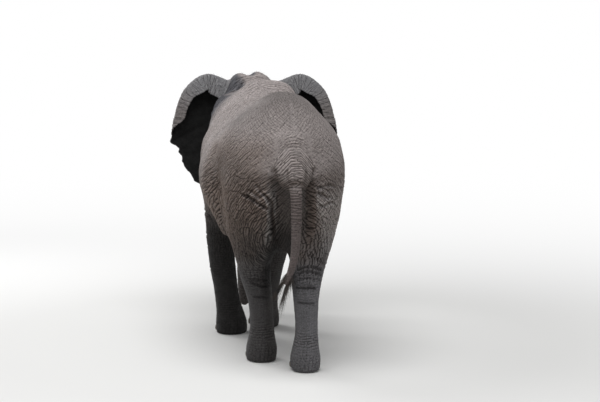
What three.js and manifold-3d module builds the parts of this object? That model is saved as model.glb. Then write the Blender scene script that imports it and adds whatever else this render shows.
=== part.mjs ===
// An adult African savanna elephant in mid-walk, life size, in millimetres.
// +Z is up, the head faces -Y and +X is the animal's left. It stands with its four soles on z = 0.
//
// The flesh is one smooth field: ellipsoids and limbs of round cones, blended together. Each sub-part is
// that field's surface on a grid of its own, cut to its region of the body, so that neighbours meet at a
// thin joint. Ears, tail, tusks, eyes and toenails are shapes of their own, seated in the flesh.

import * as THREE from "three";
import { mergeVertices } from "three/addons/utils/BufferGeometryUtils.js";
import Module from "manifold-3d";

const wasm = await Module();
wasm.setup();

// ---------------------------------------------------------------- driving dimensions

const SHOULDER = 2700; // height of the withers
const UNIT = SHOULDER / 3000; // the landmarks and sizes below are thousandths of a third of that height
const GAP = 0.6 * UNIT; // joint between neighbouring sub-parts
const CELLS = { body: 178, neck: 155, head: 92 }; // grid that each part of the flesh is meshed on

// Landmarks are written as (left of the midline, ahead of the hip joint, height).
const at = (left, ahead, up) => new THREE.Vector3(left, -ahead, up).multiplyScalar(UNIT);

// ---------------------------------------------------------------- the field's shapes

// Distance to an ellipsoid, close to its surface.
function ellipsoid(centre, radiusX, radiusY, radiusZ, pitch = 0) {
  const [rx, ry, rz] = [radiusX, radiusY, radiusZ].map((r) => r * UNIT);
  const [c, s] = [Math.cos(pitch), Math.sin(pitch)];
  return (x, y, z) => {
    const dx = x - centre.x;
    const dy = (y - centre.y) * c + (z - centre.z) * s;
    const dz = (z - centre.z) * c - (y - centre.y) * s;
    const near = Math.hypot(dx / rx, dy / ry, dz / rz);
    const slope = Math.hypot(dx / rx ** 2, dy / ry ** 2, dz / rz ** 2);
    return slope < 1e-9 ? -Math.min(rx, ry, rz) : (near * (near - 1)) / slope;
  };
}

// Distance to a chain of round cones through stations [point, radius]. A depth over 1 makes the chain
// deeper from front to back than it is wide.
function limb(stations, depth = 1) {
  const links = stations.slice(1).map(([b, rb], i) => {
    const [a, ra] = stations[i];
    const axis = new THREE.Vector3(b.x - a.x, (b.y - a.y) / depth, b.z - a.z);
    return { a, axis, length2: axis.lengthSq(), ra: ra * UNIT, rb: rb * UNIT };
  });
  return (x, y, z) => {
    let nearest = Infinity;
    for (const { a, axis, length2, ra, rb } of links) {
      const [px, py, pz] = [x - a.x, (y - a.y) / depth, z - a.z];
      const along = (px * axis.x + py * axis.y + pz * axis.z) / length2;
      const t = Math.min(1, Math.max(0, along));
      const away = Math.hypot(px - axis.x * t, py - axis.y * t, pz - axis.z * t);
      nearest = Math.min(nearest, away - (ra + (rb - ra) * t));
    }
    return nearest;
  };
}

// The union of shapes, with fillets about as large as `fillet`.
function blend(fillet, ...shapes) {
  const k = fillet * UNIT;
  return (x, y, z) =>
    shapes.reduce((before, shape) => {
      const d = shape(x, y, z);
      const share = Math.max(k - Math.abs(before - d), 0) / k;
      return Math.min(before, d) - (share * share * k) / 4;
    }, 1e6);
}

const both = (make) => [make(1), make(-1)];

// ---------------------------------------------------------------- the animal's flesh

// The head and the neck turn a little to the right, about an upright axis through the shoulders.
const HEAD_YAW = -0.14;
const NECK_PIVOT = at(0, 1600, 0);
const HEAD_TURN = new THREE.Matrix4()
  .makeTranslation(NECK_PIVOT)
  .multiply(new THREE.Matrix4().makeRotationZ(HEAD_YAW))
  .multiply(new THREE.Matrix4().makeTranslation(NECK_PIVOT.clone().negate()));
const TURN_BACK = HEAD_TURN.clone().invert();
const onHead = (...landmark) => at(...landmark).applyMatrix4(HEAD_TURN);
const turned = (field) => (x, y, z) => field(...new THREE.Vector3(x, y, z).applyMatrix4(TURN_BACK));

const torso = blend(
  170,
  ellipsoid(at(10, 60, 2010), 620, 640, 740), // hips
  ellipsoid(at(0, 120, 2420), 340, 500, 425), // sacrum, the high point of the rump
  ...both((side) => ellipsoid(at(side * 330, 330, 2230), 310, 430, 330)), // hip bones
  ellipsoid(at(225, -110, 1590), 205, 280, 370), // hams
  ellipsoid(at(-235, -190, 1590), 205, 280, 370),
  limb([[at(250, -110, 1480), 190], [at(285, 110, 1170), 140]]), // the backs of the thighs
  limb([[at(-250, -190, 1480), 190], [at(-262, -100, 1170), 140]]),
  ellipsoid(at(-28, 1010, 1925), 785, 960, 715), // belly
  limb([[at(0, 500, 2430), 300], [at(-10, 1400, 2450), 310]]), // spine
  ...both((side) => limb([[at(side * 400, 380, 1420), 150], [at(side * 440, 820, 1400), 150]])), // flank folds
  ellipsoid(at(-5, 1640, 2050), 620, 720, 790), // ribs
  ellipsoid(at(-110, 1880, 2460), 385, 480, 525), // withers
  ellipsoid(at(-330, 1860, 2600), 190, 320, 345), // right shoulder blade, raised in the step
  ellipsoid(at(-20, 2120, 1830), 400, 400, 530), // brisket
);

const neck = blend(
  120,
  limb([[at(0, 2050, 2380), 470], [onHead(0, 2440, 2480), 395], [onHead(0, 2720, 2520), 335]]),
  limb([[at(-10, 2240, 1990), 320], [onHead(0, 2660, 2120), 250]]),
  limb([[at(140, 2150, 2430), 330], [at(185, 2470, 2590), 235]]), // its stretched left side
);

const skull = blend(
  110,
  ellipsoid(at(0, 2780, 2640), 330, 390, 410), // cranium
  ...both((side) => ellipsoid(at(75 + side * 122, 2740, 2835), 165, 270, 240)), // its two low domes
  ellipsoid(at(0, 2960, 2560), 275, 350, 470, 0.2), // forehead
  ...both((side) => ellipsoid(at(side * 245, 2940, 2290), 130, 260, 215)), // cheekbones
  ...both((side) => ellipsoid(at(side * 225, 3085, 2490), 80, 150, 75)), // brows
  ...both((side) => limb([[at(side * 165, 3150, 2240), 135], [at(side * 222, 3345, 1850), 88]])), // sheaths
);

const jaw = blend(
  70,
  limb([[at(0, 2740, 2060), 220], [at(0, 2900, 1900), 160], [at(0, 3080, 1790), 78]]),
  ...both((side) => ellipsoid(at(side * 130, 2780, 2060), 110, 200, 190)), // angles of the jaw
);

const TRUNK = [
  [at(0, 3110, 2380), 255],
  [at(0, 3290, 2020), 205],
  [at(0, 3400, 1640), 170],
  [at(35, 3450, 1280), 148],
  [at(75, 3440, 930), 128],
  [at(105, 3385, 600), 108],
  [at(115, 3330, 330), 90],
  [at(115, 3335, 170), 78],
  [at(110, 3390, 105), 66],
];

// Each leg runs from the shoulder or hip to the ankle, as stations of [landmark, half width].
const LEGS = {
  front_left: {
    depth: 1.12,
    stations: [
      [at(340, 1850, 2150), 285],
      [at(385, 1780, 1650), 245],
      [at(410, 1735, 1330), 190],
      [at(402, 1810, 1000), 158],
      [at(365, 1865, 740), 152],
      [at(330, 1870, 500), 138],
      [at(300, 1880, 300), 148],
      [at(268, 1900, 130), 175],
    ],
  },
  front_right: {
    depth: 1.12,
    stations: [
      [at(-330, 1910, 2150), 285],
      [at(-350, 1870, 1650), 245],
      [at(-345, 1880, 1330), 190],
      [at(-295, 2020, 1000), 158],
      [at(-250, 2120, 740), 152],
      [at(-220, 2160, 500), 138],
      [at(-200, 2190, 300), 148],
      [at(-185, 2230, 130), 175],
    ],
  },
  hind_left: {
    depth: 1.3,
    stations: [
      [at(315, 60, 2000), 285],
      [at(330, 130, 1600), 265],
      [at(300, 270, 1250), 212],
      [at(268, 310, 960), 170],
      [at(212, 250, 640), 127],
      [at(206, 225, 400), 126],
      [at(203, 265, 130), 155],
    ],
  },
  hind_right: {
    depth: 1.3,
    stations: [
      [at(-315, 0, 2000), 285],
      [at(-325, 20, 1600), 255],
      [at(-270, 30, 1250), 205],
      [at(-218, -50, 960), 166],
      [at(-165, -265, 640), 119],
      [at(-150, -350, 400), 114],
      [at(-145, -330, 130), 146],
    ],
  },
};

// A foot is a column that spreads towards the sole, so it is carried on below the floor and cut there.
const foot = ([ankle, half], depth) => {
  const below = ankle.clone().setZ(-100 * UNIT);
  return limb([[ankle, half], [below, half + 14]], depth);
};
const legs = Object.values(LEGS).map(({ depth, stations }) =>
  blend(60, limb(stations, depth), foot(stations.at(-1), (depth + 1) / 2)),
);

const groin = blend(
  60,
  limb([[at(10, -400, 1740), 130], [at(35, -300, 1400), 90]]),
  limb([[at(0, 100, 1420), 190], [at(0, 600, 1390), 190]]),
);

const headAndTrunk = turned(blend(60, skull, limb(TRUNK), jaw));
const flesh = blend(
  130,
  blend(110, torso, ...legs),
  blend(110, neck, headAndTrunk),
  groin,
);

// ---------------------------------------------------------------- surfaces

const CORNERS = [0, 1, 2, 3, 4, 5, 6, 7];
const AXES = [0, 1, 2];
const EDGES = AXES.flatMap((axis) => CORNERS.filter((c) => !(c & (1 << axis))).map((c) => [c, axis]));
const edgeAt = (corner, axis) => EDGES.findIndex(([c, a]) => c === corner && a === axis);

// The six faces of a grid cell, each as its corners in order with the edge that follows each of them.
const FACES = AXES.flatMap((axis) => {
  const [u, v] = [(axis + 1) % 3, (axis + 2) % 3];
  return [0, 1 << axis].map((c) => [
    [c, edgeAt(c, u)],
    [c | (1 << u), edgeAt(c | (1 << u), v)],
    [c | (1 << u) | (1 << v), edgeAt(c | (1 << v), u)],
    [c | (1 << v), edgeAt(c, v)],
  ]);
});

// Groups a cell's crossed edges into the separate sheets that pass through it. A face that all four edges
// cross is split round its inside corners, so both of its cells agree about it.
function sheetsThrough(inside) {
  let sheet = EDGES.map((_, e) => e);
  const join = (a, b) => {
    const [from, to] = [sheet[a], sheet[b]];
    sheet = sheet.map((s) => (s === from ? to : s));
  };
  for (const face of FACES) {
    const crossed = face.filter(([c], k) => inside[c] !== inside[face[(k + 1) % 4][0]]).map(([, e]) => e);
    if (crossed.length === 2) join(...crossed);
    if (crossed.length === 4)
      face.forEach(([c, e], k) => inside[c] && join(face[(k + 3) % 4][1], e));
  }
  return sheet;
}

// The surface where field = 0 between two corners, as a closed indexed geometry: one vertex for each sheet
// in each grid cell, moved on to the surface, and a quad across each grid edge that the surface crosses.
function surface(field, low, high, cell) {
  const [nx, ny, nz] = ["x", "y", "z"].map((k) => Math.ceil((high[k] - low[k]) / cell) + 1);
  const steps = [1, nx, nx * ny];
  const place = (i, j, k) => [low.x + i * cell, low.y + j * cell, low.z + k * cell];
  const value = new Float32Array(nx * ny * nz);
  for (let k = 0, n = 0; k < nz; k++)
    for (let j = 0; j < ny; j++)
      for (let i = 0; i < nx; i++, n++) {
        const onEdge = !i || !j || !k || i === nx - 1 || j === ny - 1 || k === nz - 1;
        value[n] = onEdge ? cell : field(...place(i, j, k));
      }

  const settle = (p) => {
    const h = cell * 0.02;
    const start = p.clone();
    for (let round = 0; round < 3; round++) {
      const here = field(p.x, p.y, p.z);
      const slope = new THREE.Vector3(
        field(p.x + h, p.y, p.z) - here,
        field(p.x, p.y + h, p.z) - here,
        field(p.x, p.y, p.z + h) - here,
      ).divideScalar(h);
      if (slope.lengthSq() < 1e-3) break;
      p.addScaledVector(slope, -here / slope.lengthSq());
    }
    return p.distanceTo(start) < cell * 0.5 ? p : start;
  };

  const positions = [];
  const vertexOf = new Int32Array(nx * ny * nz * EDGES.length);
  const offset = CORNERS.map((c) => (c & 1) * steps[0] + ((c >> 1) & 1) * steps[1] + (c >> 2) * steps[2]);
  for (let k = 0; k < nz - 1; k++)
    for (let j = 0; j < ny - 1; j++)
      for (let i = 0; i < nx - 1; i++) {
        const n = i + j * steps[1] + k * steps[2];
        const inside = offset.map((o) => value[n + o] < 0);
        if (inside.every((is) => is === inside[0])) continue;
        const sheet = sheetsThrough(inside);
        const sums = new Map();
        EDGES.forEach(([c, axis], e) => {
          if (inside[c] === inside[c | (1 << axis)]) return;
          const [a, b] = [value[n + offset[c]], value[n + offset[c | (1 << axis)]]];
          const part = [c & 1, (c >> 1) & 1, c >> 2];
          part[axis] = a / (a - b);
          if (!sums.has(sheet[e])) sums.set(sheet[e], { sum: new THREE.Vector3(), edges: [] });
          const found = sums.get(sheet[e]);
          found.sum.add(new THREE.Vector3(...part));
          found.edges.push(e);
        });
        for (const { sum, edges } of sums.values()) {
          sum.divideScalar(edges.length);
          for (const e of edges) vertexOf[n * EDGES.length + e] = positions.length / 3;
          positions.push(...settle(new THREE.Vector3(...place(i + sum.x, j + sum.y, k + sum.z))));
        }
      }

  const index = [];
  const corner = (v) => new THREE.Vector3().fromArray(positions, v * 3);
  for (let k = 0; k < nz - 1; k++)
    for (let j = 0; j < ny - 1; j++)
      for (let i = 0; i < nx - 1; i++)
        for (const axis of AXES) {
          const n = i + j * steps[1] + k * steps[2];
          const isInside = value[n] < 0;
          if (isInside === value[n + steps[axis]] < 0) continue;
          const [u, v] = [(axis + 1) % 3, (axis + 2) % 3];
          const round = [0, 1 << u, (1 << u) | (1 << v), 1 << v];
          const quad = round.map((c) => vertexOf[(n - offset[c]) * EDGES.length + edgeAt(c, axis)]);
          if (!isInside) quad.reverse();
          const [p, q, r, s] = quad;
          const splitAtP = corner(p).distanceTo(corner(r)) < corner(q).distanceTo(corner(s));
          index.push(...(splitAtP ? [p, q, r, p, r, s] : [q, r, s, q, s, p]));
        }
  const geometry = new THREE.BufferGeometry();
  geometry.setAttribute("position", new THREE.Float32BufferAttribute(positions, 3));
  geometry.setIndex(index);
  return geometry;
}

// A closed skin over rings of points, all with the same number, capped by a fan at each end.
function skinOver(rings) {
  const sides = rings[0].length;
  const last = rings.length - 1;
  const middle = (ring) => ring.reduce((sum, p) => sum.add(p), new THREE.Vector3()).divideScalar(sides);
  const points = [...rings.flat(), middle(rings[0]), middle(rings[last])];
  const index = [];
  for (let j = 0; j < sides; j++) {
    const next = (j + 1) % sides;
    for (let i = 0; i < last; i++) {
      const [a, b] = [i * sides, (i + 1) * sides];
      index.push(a + j, a + next, b + next, a + j, b + next, b + j);
    }
    index.push(points.length - 2, next, j);
    index.push(points.length - 1, last * sides + j, last * sides + next);
  }
  const geometry = new THREE.BufferGeometry();
  geometry.setAttribute("position", new THREE.Float32BufferAttribute(points.flatMap((p) => [...p]), 3));
  geometry.setIndex(index);
  return geometry;
}

// A round or flattened tube along a curve; radius(t) is its half width, for t from 0 to 1.
function tube(curve, radius, steps, sides, flatness = 1) {
  const rings = Array.from({ length: steps + 1 }, (_, i) => {
    const t = i / steps;
    const along = curve.getTangent(t);
    const across = new THREE.Vector3(1, 0, 0).addScaledVector(along, -along.x).normalize();
    const over = along.clone().cross(across);
    return Array.from({ length: sides }, (_, j) => {
      const turn = (2 * Math.PI * j) / sides;
      const p = curve.getPoint(t).addScaledVector(across, radius(t) * Math.cos(turn));
      return p.addScaledVector(over, radius(t) * flatness * Math.sin(turn));
    });
  });
  return skinOver(rings);
}

// A closed sheet: point(u, v) is its middle surface and thickness(v) how thick it is, over u, v from 0 to 1.
function sheet(point, thickness, stepsU, stepsV) {
  const h = 0.004;
  const normalAt = (u, v) => {
    const alongU = point(Math.min(u + h, 1), v).sub(point(Math.max(u - h, 0), v));
    const alongV = point(u, Math.min(v + h, 1)).sub(point(u, Math.max(v - h, 0)));
    return alongU.cross(alongV).normalize();
  };
  const rings = Array.from({ length: stepsU + 1 }, (_, i) => {
    const u = i / stepsU;
    const face = (side) =>
      Array.from({ length: stepsV + 1 }, (_, j) => {
        const v = j / stepsV;
        return point(u, v).addScaledVector(normalAt(u, v), (side * thickness(v)) / 2);
      });
    return [...face(-1), ...face(1).reverse()];
  });
  return skinOver(rings);
}

const curveThrough = (points) => new THREE.CatmullRomCurve3(points, false, "centripetal");

// ---------------------------------------------------------------- solids

function solid(geometry) {
  const bare = new THREE.BufferGeometry().setAttribute("position", geometry.attributes.position);
  bare.setIndex(geometry.index);
  const merged = mergeVertices(bare, 1e-3);
  const vertProperties = merged.attributes.position.array;
  const triVerts = new Uint32Array(merged.index.array);
  return new wasm.Manifold(new wasm.Mesh({ numProp: 3, vertProperties, triVerts }));
}

function geometryOf(body) {
  const mesh = body.getMesh();
  const geometry = new THREE.BufferGeometry();
  geometry.setAttribute("position", new THREE.BufferAttribute(new Float32Array(mesh.vertProperties), 3));
  geometry.setIndex(new THREE.BufferAttribute(mesh.triVerts, 1));
  return geometry;
}

// The same solid with its faces moved out by about `distance`, to cut clearance for a neighbour with.
function grown(body, distance) {
  const geometry = geometryOf(body);
  geometry.computeVertexNormals();
  const { position, normal } = geometry.attributes;
  for (let i = 0; i < position.count; i++) {
    const p = new THREE.Vector3().fromBufferAttribute(position, i);
    p.addScaledVector(new THREE.Vector3().fromBufferAttribute(normal, i), distance);
    position.setXYZ(i, p.x, p.y, p.z);
  }
  return solid(geometry);
}

function mirrored(geometry) {
  const copy = geometry.clone().scale(-1, 1, 1);
  const index = copy.index.array;
  for (let i = 0; i < index.length; i += 3) [index[i + 1], index[i + 2]] = [index[i + 2], index[i + 1]];
  return copy;
}

// ---------------------------------------------------------------- cuts between sub-parts

// A cutting plane through a landmark.
const plane = (point, normal) => ({ point, normal: normal.normalize() });
const levelAt = (height) => plane(at(0, 0, height), at(0, 0, 1));
const opposite = ({ point, normal }) => plane(point, normal.clone().negate());

const LOIN = plane(at(0, 620, 2000), at(0, 1, 0));
const ELBOW = plane(at(0, 1330, 2000), at(0, 1, 0));
const CHEST = plane(at(0, 2330, 2330), at(0, 1, 0.24));
const NAPE = plane(onHead(0, 2580, 2450), at(-0.14, 1, -0.1));
const MOUTH = plane(onHead(0, 3000, 1945), at(-0.05, 0.42, 0.9));
const LIP = plane(onHead(0, 3225, 1900), at(-0.13, 0.95, 0.3));
const TRUNK_ROOT = plane(onHead(0, 3370, 1745), at(-0.04, 0.28, -0.96));
const ARMPIT = levelAt(1180);

// What lies behind all of the planes, grown by a margin.
const EVERYTHING = solid(new THREE.BoxGeometry(20000, 20000, 20000));
const region = (...planes) => (margin) =>
  planes.reduce(
    (body, { point, normal }) =>
      body.trimByPlane(normal.clone().negate().toArray(), -normal.dot(point) - margin),
    EVERYTHING,
  );
const within = (area) => (body) => body.intersect(area(-GAP / 2));
const outside = (area) => (body) => body.subtract(area(GAP / 2));

// The flesh in a box, by its centre and size, meshed with cells of the given size and then cut.
function piece(centre, size, cell, ...cuts) {
  const reach = new THREE.Vector3(...size).multiplyScalar(UNIT / 2);
  const whole = surface(flesh, centre.clone().sub(reach), centre.clone().add(reach), cell * UNIT);
  return cuts.reduce((body, cut) => cut(body), solid(whole));
}

// How far the flesh reaches from a point inside it.
function reachFrom(start, direction) {
  let distance = 0;
  for (let step = 0; step < 60; step++) {
    const p = start.clone().addScaledVector(direction, distance);
    distance -= flesh(p.x, p.y, p.z);
  }
  return distance;
}

// A ring of points on the flesh round a centre, in the plane of two directions.
function ringRound(centre, across, over, sides) {
  return Array.from({ length: sides }, (_, j) => {
    const turn = (2 * Math.PI * (j + 0.5)) / sides;
    const outward = across.clone().multiplyScalar(Math.cos(turn)).addScaledVector(over, Math.sin(turn));
    return centre.clone().addScaledVector(outward, reachFrom(centre, outward));
  });
}

// ---------------------------------------------------------------- the nodes

const KINDS = {
  hide: { color: 0x7d7068, roughness: 0.9 },
  eye: { color: 0x2a1a10, roughness: 0.15 },
  ivory: { color: 0xd8cbb0, roughness: 0.45 },
  nail: { color: 0x9a8c7c, roughness: 0.6 },
  hair: { color: 0x1d1916, roughness: 0.7 },
};
const elephant = new THREE.Group();
elephant.name = "elephant";
function add(name, body, kind) {
  const mesh = new THREE.Mesh(geometryOf(body), new THREE.MeshStandardMaterial(KINDS[kind]));
  mesh.name = name;
  elephant.add(mesh);
  return body;
}

// ---- body, with the upper parts of the legs cut out at its sides

const SIDES = { left: 1, right: -1 };
const beside = (side, inner) => plane(at(side * inner, 0, 0), at(-side, 0, 0));
const body = {
  hind: piece(at(0, 0, 2000), [1900, 1650, 2100], CELLS.body, within(region(LOIN, opposite(ARMPIT)))),
  front: piece(
    at(0, 1900, 2080),
    [1900, 1600, 2300],
    CELLS.body,
    within(region(opposite(ELBOW), CHEST, opposite(ARMPIT))),
  ),
};
const UPPER_LEG = {
  hind: (side) => region(levelAt(1880), beside(side, 340)),
  front: (side) => region(levelAt(2080), beside(side, 350)),
};
for (const end of ["hind", "front"])
  for (const [hand, side] of Object.entries(SIDES)) {
    const area = UPPER_LEG[end](side);
    add(`${end}_leg_upper_${hand}`, within(area)(body[end]), "hide");
    body[end] = outside(area)(body[end]);
  }
add("rump", body.hind, "hide");
add("shoulders", body.front, "hide");

const BARREL_RINGS = 5;
const barrelRings = Array.from({ length: BARREL_RINGS }, (_, i) => {
  const [from, to] = [LOIN.point.y - GAP / 2, ELBOW.point.y + GAP / 2];
  const centre = at(0, 0, 2000).setY(from + ((to - from) * i) / (BARREL_RINGS - 1));
  return ringRound(centre, at(1, 0, 0).normalize(), at(0, 0, 1).normalize(), 30);
});
add("barrel", solid(skinOver(barrelRings)), "hide");

// ---- lower legs, feet and toenails

// A leg's axis at a height, from its stations.
function axisAt(stations, height) {
  const z = height * UNIT;
  const next = stations.findIndex(([p]) => p.z <= z);
  if (next < 0) return stations.at(-1)[0].clone().setZ(z);
  const [a, b] = [stations[next - 1][0], stations[next][0]];
  return a.clone().lerp(b, (a.z - z) / (a.z - b.z)).setZ(z);
}

const [X, Y] = [new THREE.Vector3(1, 0, 0), new THREE.Vector3(0, 1, 0)];
const column = (stations, levels) =>
  solid(skinOver(levels.map((height) => ringRound(axisAt(stations, height), X, Y, 14))));

const SHANK_LEVELS = [255 + GAP / 2, 400, 540, 700, 860, 1020, 1180 - GAP / 2];
const FOOT_LEVELS = [0, 50, 130, 255 - GAP / 2];
const NAILS = { front: [-1.1, -0.38, 0.38, 1.1], hind: [-0.8, 0, 0.8] }; // turns from straight ahead
const NAIL = { half_width: 40, half_depth: 22, half_height: 36, height: 56, proud: 8 };

const hindLegs = [];
for (const [name, { stations }] of Object.entries(LEGS)) {
  const [end, hand] = name.split("_");
  const lower = add(`${end}_leg_lower_${hand}`, column(stations, SHANK_LEVELS), "hide");
  if (end === "hind") hindLegs.push(lower);
  const foot = add(`${end}_foot_${hand}`, column(stations, FOOT_LEVELS), "hide");
  const clearance = grown(foot, GAP);
  NAILS[end].forEach((turn, i) => {
    const outward = at(Math.sin(turn), Math.cos(turn), 0).normalize();
    const place = axisAt(stations, NAIL.height);
    place.addScaledVector(outward, reachFrom(place, outward) - (NAIL.half_depth - NAIL.proud) * UNIT);
    const halves = [NAIL.half_width, NAIL.half_depth, NAIL.half_height].map((n) => n * UNIT);
    const nail = new THREE.SphereGeometry(1, 7, 3).scale(...halves);
    nail.rotateZ(Math.atan2(outward.x, -outward.y)).translate(...place);
    add(`${end}_nail_${hand}_${i + 1}`, solid(nail).subtract(clearance), "nail");
  });
}

// ---- neck, head, eyes, jaw and trunk

const EYE_RADIUS = 21 * UNIT;
const eyes = Object.values(SIDES).map((side) => {
  const behind = onHead(0, 3150, 2415);
  const outward = onHead(side * 100, 3150 + 35, 2415).sub(behind).normalize();
  const centre = behind.clone().addScaledVector(outward, reachFrom(behind, outward) - 0.62 * EYE_RADIUS);
  return (margin) => solid(new THREE.SphereGeometry(EYE_RADIUS + margin, 10, 7).translate(...centre));
});
add("eye_left", eyes[0](0), "eye");
add("eye_right", eyes[1](0), "eye");

const neckPiece = piece(
  onHead(0, 2450, 2150),
  [1400, 900, 2100],
  CELLS.neck,
  within(region(opposite(CHEST), NAPE)),
);
const neckBody = add("neck", neckPiece, "hide");
const JAW = region(MOUTH, LIP);
const wholeHead = piece(
  onHead(0, 3060, 2390),
  [1000, 1300, 1700],
  CELLS.head,
  within(region(opposite(NAPE), opposite(CHEST), TRUNK_ROOT)),
);
const face = eyes.reduce((rest, eye) => rest.subtract(eye(GAP)), wholeHead);
const head = add("head", outside(JAW)(face), "hide");
add("lower_jaw", within(JAW)(wholeHead), "hide");

const TRUNK_AXIS = curveThrough(TRUNK.slice(1).map(([p]) => p.clone().applyMatrix4(HEAD_TURN)));
const TRUNK_RINGS = 17;
const trunkRings = Array.from({ length: TRUNK_RINGS }, (_, i) => {
  const t = 0.1 + (0.9 * i) / (TRUNK_RINGS - 1);
  const along = TRUNK_AXIS.getTangent(t);
  const across = X.clone().addScaledVector(along, -along.x).normalize();
  return ringRound(TRUNK_AXIS.getPoint(t), across, along.clone().cross(across), 14);
});
const trunk = add("trunk", within(region(opposite(TRUNK_ROOT)))(solid(skinOver(trunkRings))), "hide");

// ---- ears: a plate spread out from the side of the head, whose upper rim folds over backwards

const EAR = {
  root: curveThrough([at(230, 2750, 2880), at(310, 2800, 2560), at(270, 2910, 2180)]),
  rim: curveThrough([
    at(300, 2760, 2960), // where the upper edge leaves the crown
    at(590, 2730, 3050), // top
    at(840, 2690, 2880),
    at(965, 2670, 2580),
    at(1010, 2680, 2240), // outermost corner
    at(860, 2730, 1930),
    at(640, 2810, 1620), // lobe
    at(450, 2900, 1560),
    at(360, 2950, 1800),
    at(310, 2940, 2100), // where the lower edge meets the cheek
  ]),
  root_thickness: 46,
  rim_thickness: 20,
  fold_radius: 55,
  fold_angle: 2.9,
  fold_drop: 195,
  fold_end: 0.435, // share of the rim at which the fold has run out
};
const EAR_PLATE = 0.45; // share of the sheet's width in the plate, the rest being rim and fold

function earPoint(u, v) {
  const root = EAR.root.getPoint(u);
  const rim = EAR.rim.getPoint(u);
  const edge = EAR.rim.getTangent(u);
  const out = edge.clone().cross(new THREE.Vector3(0, 1, 0)).normalize();
  const left = Math.max(0, 1 - u / EAR.fold_end);
  const folded = Math.min(1, 5 * left) ** 0.6;
  const [angle, radius] = [EAR.fold_angle * folded, EAR.fold_radius * UNIT];
  const crest = rim.clone().addScaledVector(out, -radius * Math.sin(Math.min(angle, Math.PI / 2)));
  const drop = EAR.fold_drop * UNIT * (0.25 + 0.75 * left) * Math.min(1, 6 * left);
  const [margin, bend] = [40 * UNIT, radius * angle];
  const length = crest.distanceTo(root);
  const plate = length - margin;
  const s = v < EAR_PLATE
    ? (plate * v) / EAR_PLATE
    : plate + ((margin + bend + drop) * (v - EAR_PLATE)) / (1 - EAR_PLATE);
  if (s <= length) {
    const cup = Math.sin((Math.PI * s) / length) * 35 * UNIT;
    return root.lerp(crest, s / length).add(new THREE.Vector3(0, -cup, 0));
  }
  const turn = Math.min(s - length, bend) / radius;
  const rest = Math.max(0, s - length - bend);
  return crest
    .addScaledVector(out, radius * Math.sin(turn) + rest * Math.cos(turn))
    .add(new THREE.Vector3(0, radius * (1 - Math.cos(turn)) + rest * Math.sin(turn), 0));
}
const earThickness = (v) => (EAR.root_thickness + (EAR.rim_thickness - EAR.root_thickness) * v) * UNIT;
const ear = sheet(earPoint, earThickness, 14, 8);
const EAR_GAP = 6 * GAP; // the ears' roots stand this clear of the head and the neck
const besideEar = [grown(head, EAR_GAP), grown(neckBody, EAR_GAP)];
for (const [hand, shape] of [["left", ear], ["right", mirrored(ear)]]) {
  const whole = solid(shape.clone().applyMatrix4(HEAD_TURN));
  add(`ear_${hand}`, besideEar.reduce((rest, other) => rest.subtract(other), whole), "hide");
}

// ---- tusks, seated in their sheaths

const TUSK = curveThrough([
  at(190, 3230, 2050),
  at(238, 3385, 1760),
  at(282, 3570, 1560),
  at(300, 3800, 1450),
  at(285, 4000, 1470),
]);
const tusk = tube(TUSK, (t) => UNIT * (48 - 34 * t ** 2.2), 9, 10);
const besideTusk = [head, trunk].map((body) => grown(body, GAP));
for (const [hand, shape] of [["left", tusk], ["right", mirrored(tusk)]]) {
  const whole = solid(shape.clone().applyMatrix4(HEAD_TURN));
  add(`tusk_${hand}`, besideTusk.reduce((rest, other) => rest.subtract(other), whole), "ivory");
}

// ---- tail and its tuft

const TAIL = curveThrough([
  at(10, -330, 2290),
  at(14, -500, 2090),
  at(22, -630, 1930),
  at(28, -705, 1790),
  at(34, -735, 1500),
  at(50, -740, 1250),
  at(90, -740, 1080),
  at(150, -735, 950),
]);
const TAIL_ROOT = 0.18; // where the tail's broad root is widest
const rootShape = (t) => Math.exp(-(((t - TAIL_ROOT) / (t < TAIL_ROOT ? 0.16 : 0.1)) ** 2));
const tailRadius = (t) => UNIT * (78 - 50 * t + 88 * rootShape(t));
const tail = add("tail", solid(tube(TAIL, tailRadius, 15, 12)).subtract(grown(body.hind, GAP)), "hide");
const TUFT = curveThrough([at(140, -735, 972), at(180, -735, 880), at(225, -735, 770), at(262, -735, 670)]);
const tuft = tube(TUFT, (t) => UNIT * (26 + 26 * Math.sin(Math.PI * t ** 0.7) - 20 * t ** 2), 7, 8, 0.55);
add("tail_tuft", solid(tuft).subtract(grown(tail, GAP)), "hair");

// ---- the fold of skin that hangs between the thighs

const FOLD = curveThrough([at(20, -330, 1300), at(45, -305, 1180), at(84, -270, 1050)]);
const fold = solid(tube(FOLD, (t) => UNIT * (92 - 70 * t), 5, 8, 0.7));
const besideFold = [body.hind, ...hindLegs].map((other) => grown(other, GAP));
add("groin_fold", besideFold.reduce((rest, other) => rest.subtract(other), fold), "hide");

// The origin is under the middle of the body, on the floor.
const extent = new THREE.Box3().setFromObject(elephant);
const middle = extent.getCenter(new THREE.Vector3());
for (const mesh of elephant.children) mesh.geometry.translate(-middle.x, -middle.y, -extent.min.z);

export default elephant;
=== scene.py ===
# A life-size African savanna elephant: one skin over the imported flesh, with its folds, wrinkles and hair.
# The frame is in metres: +Z is up, the head faces -Y and +X is the animal's left.
import math

import bmesh
import bpy
import numpy as np
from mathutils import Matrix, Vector
from mathutils.kdtree import KDTree


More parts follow.
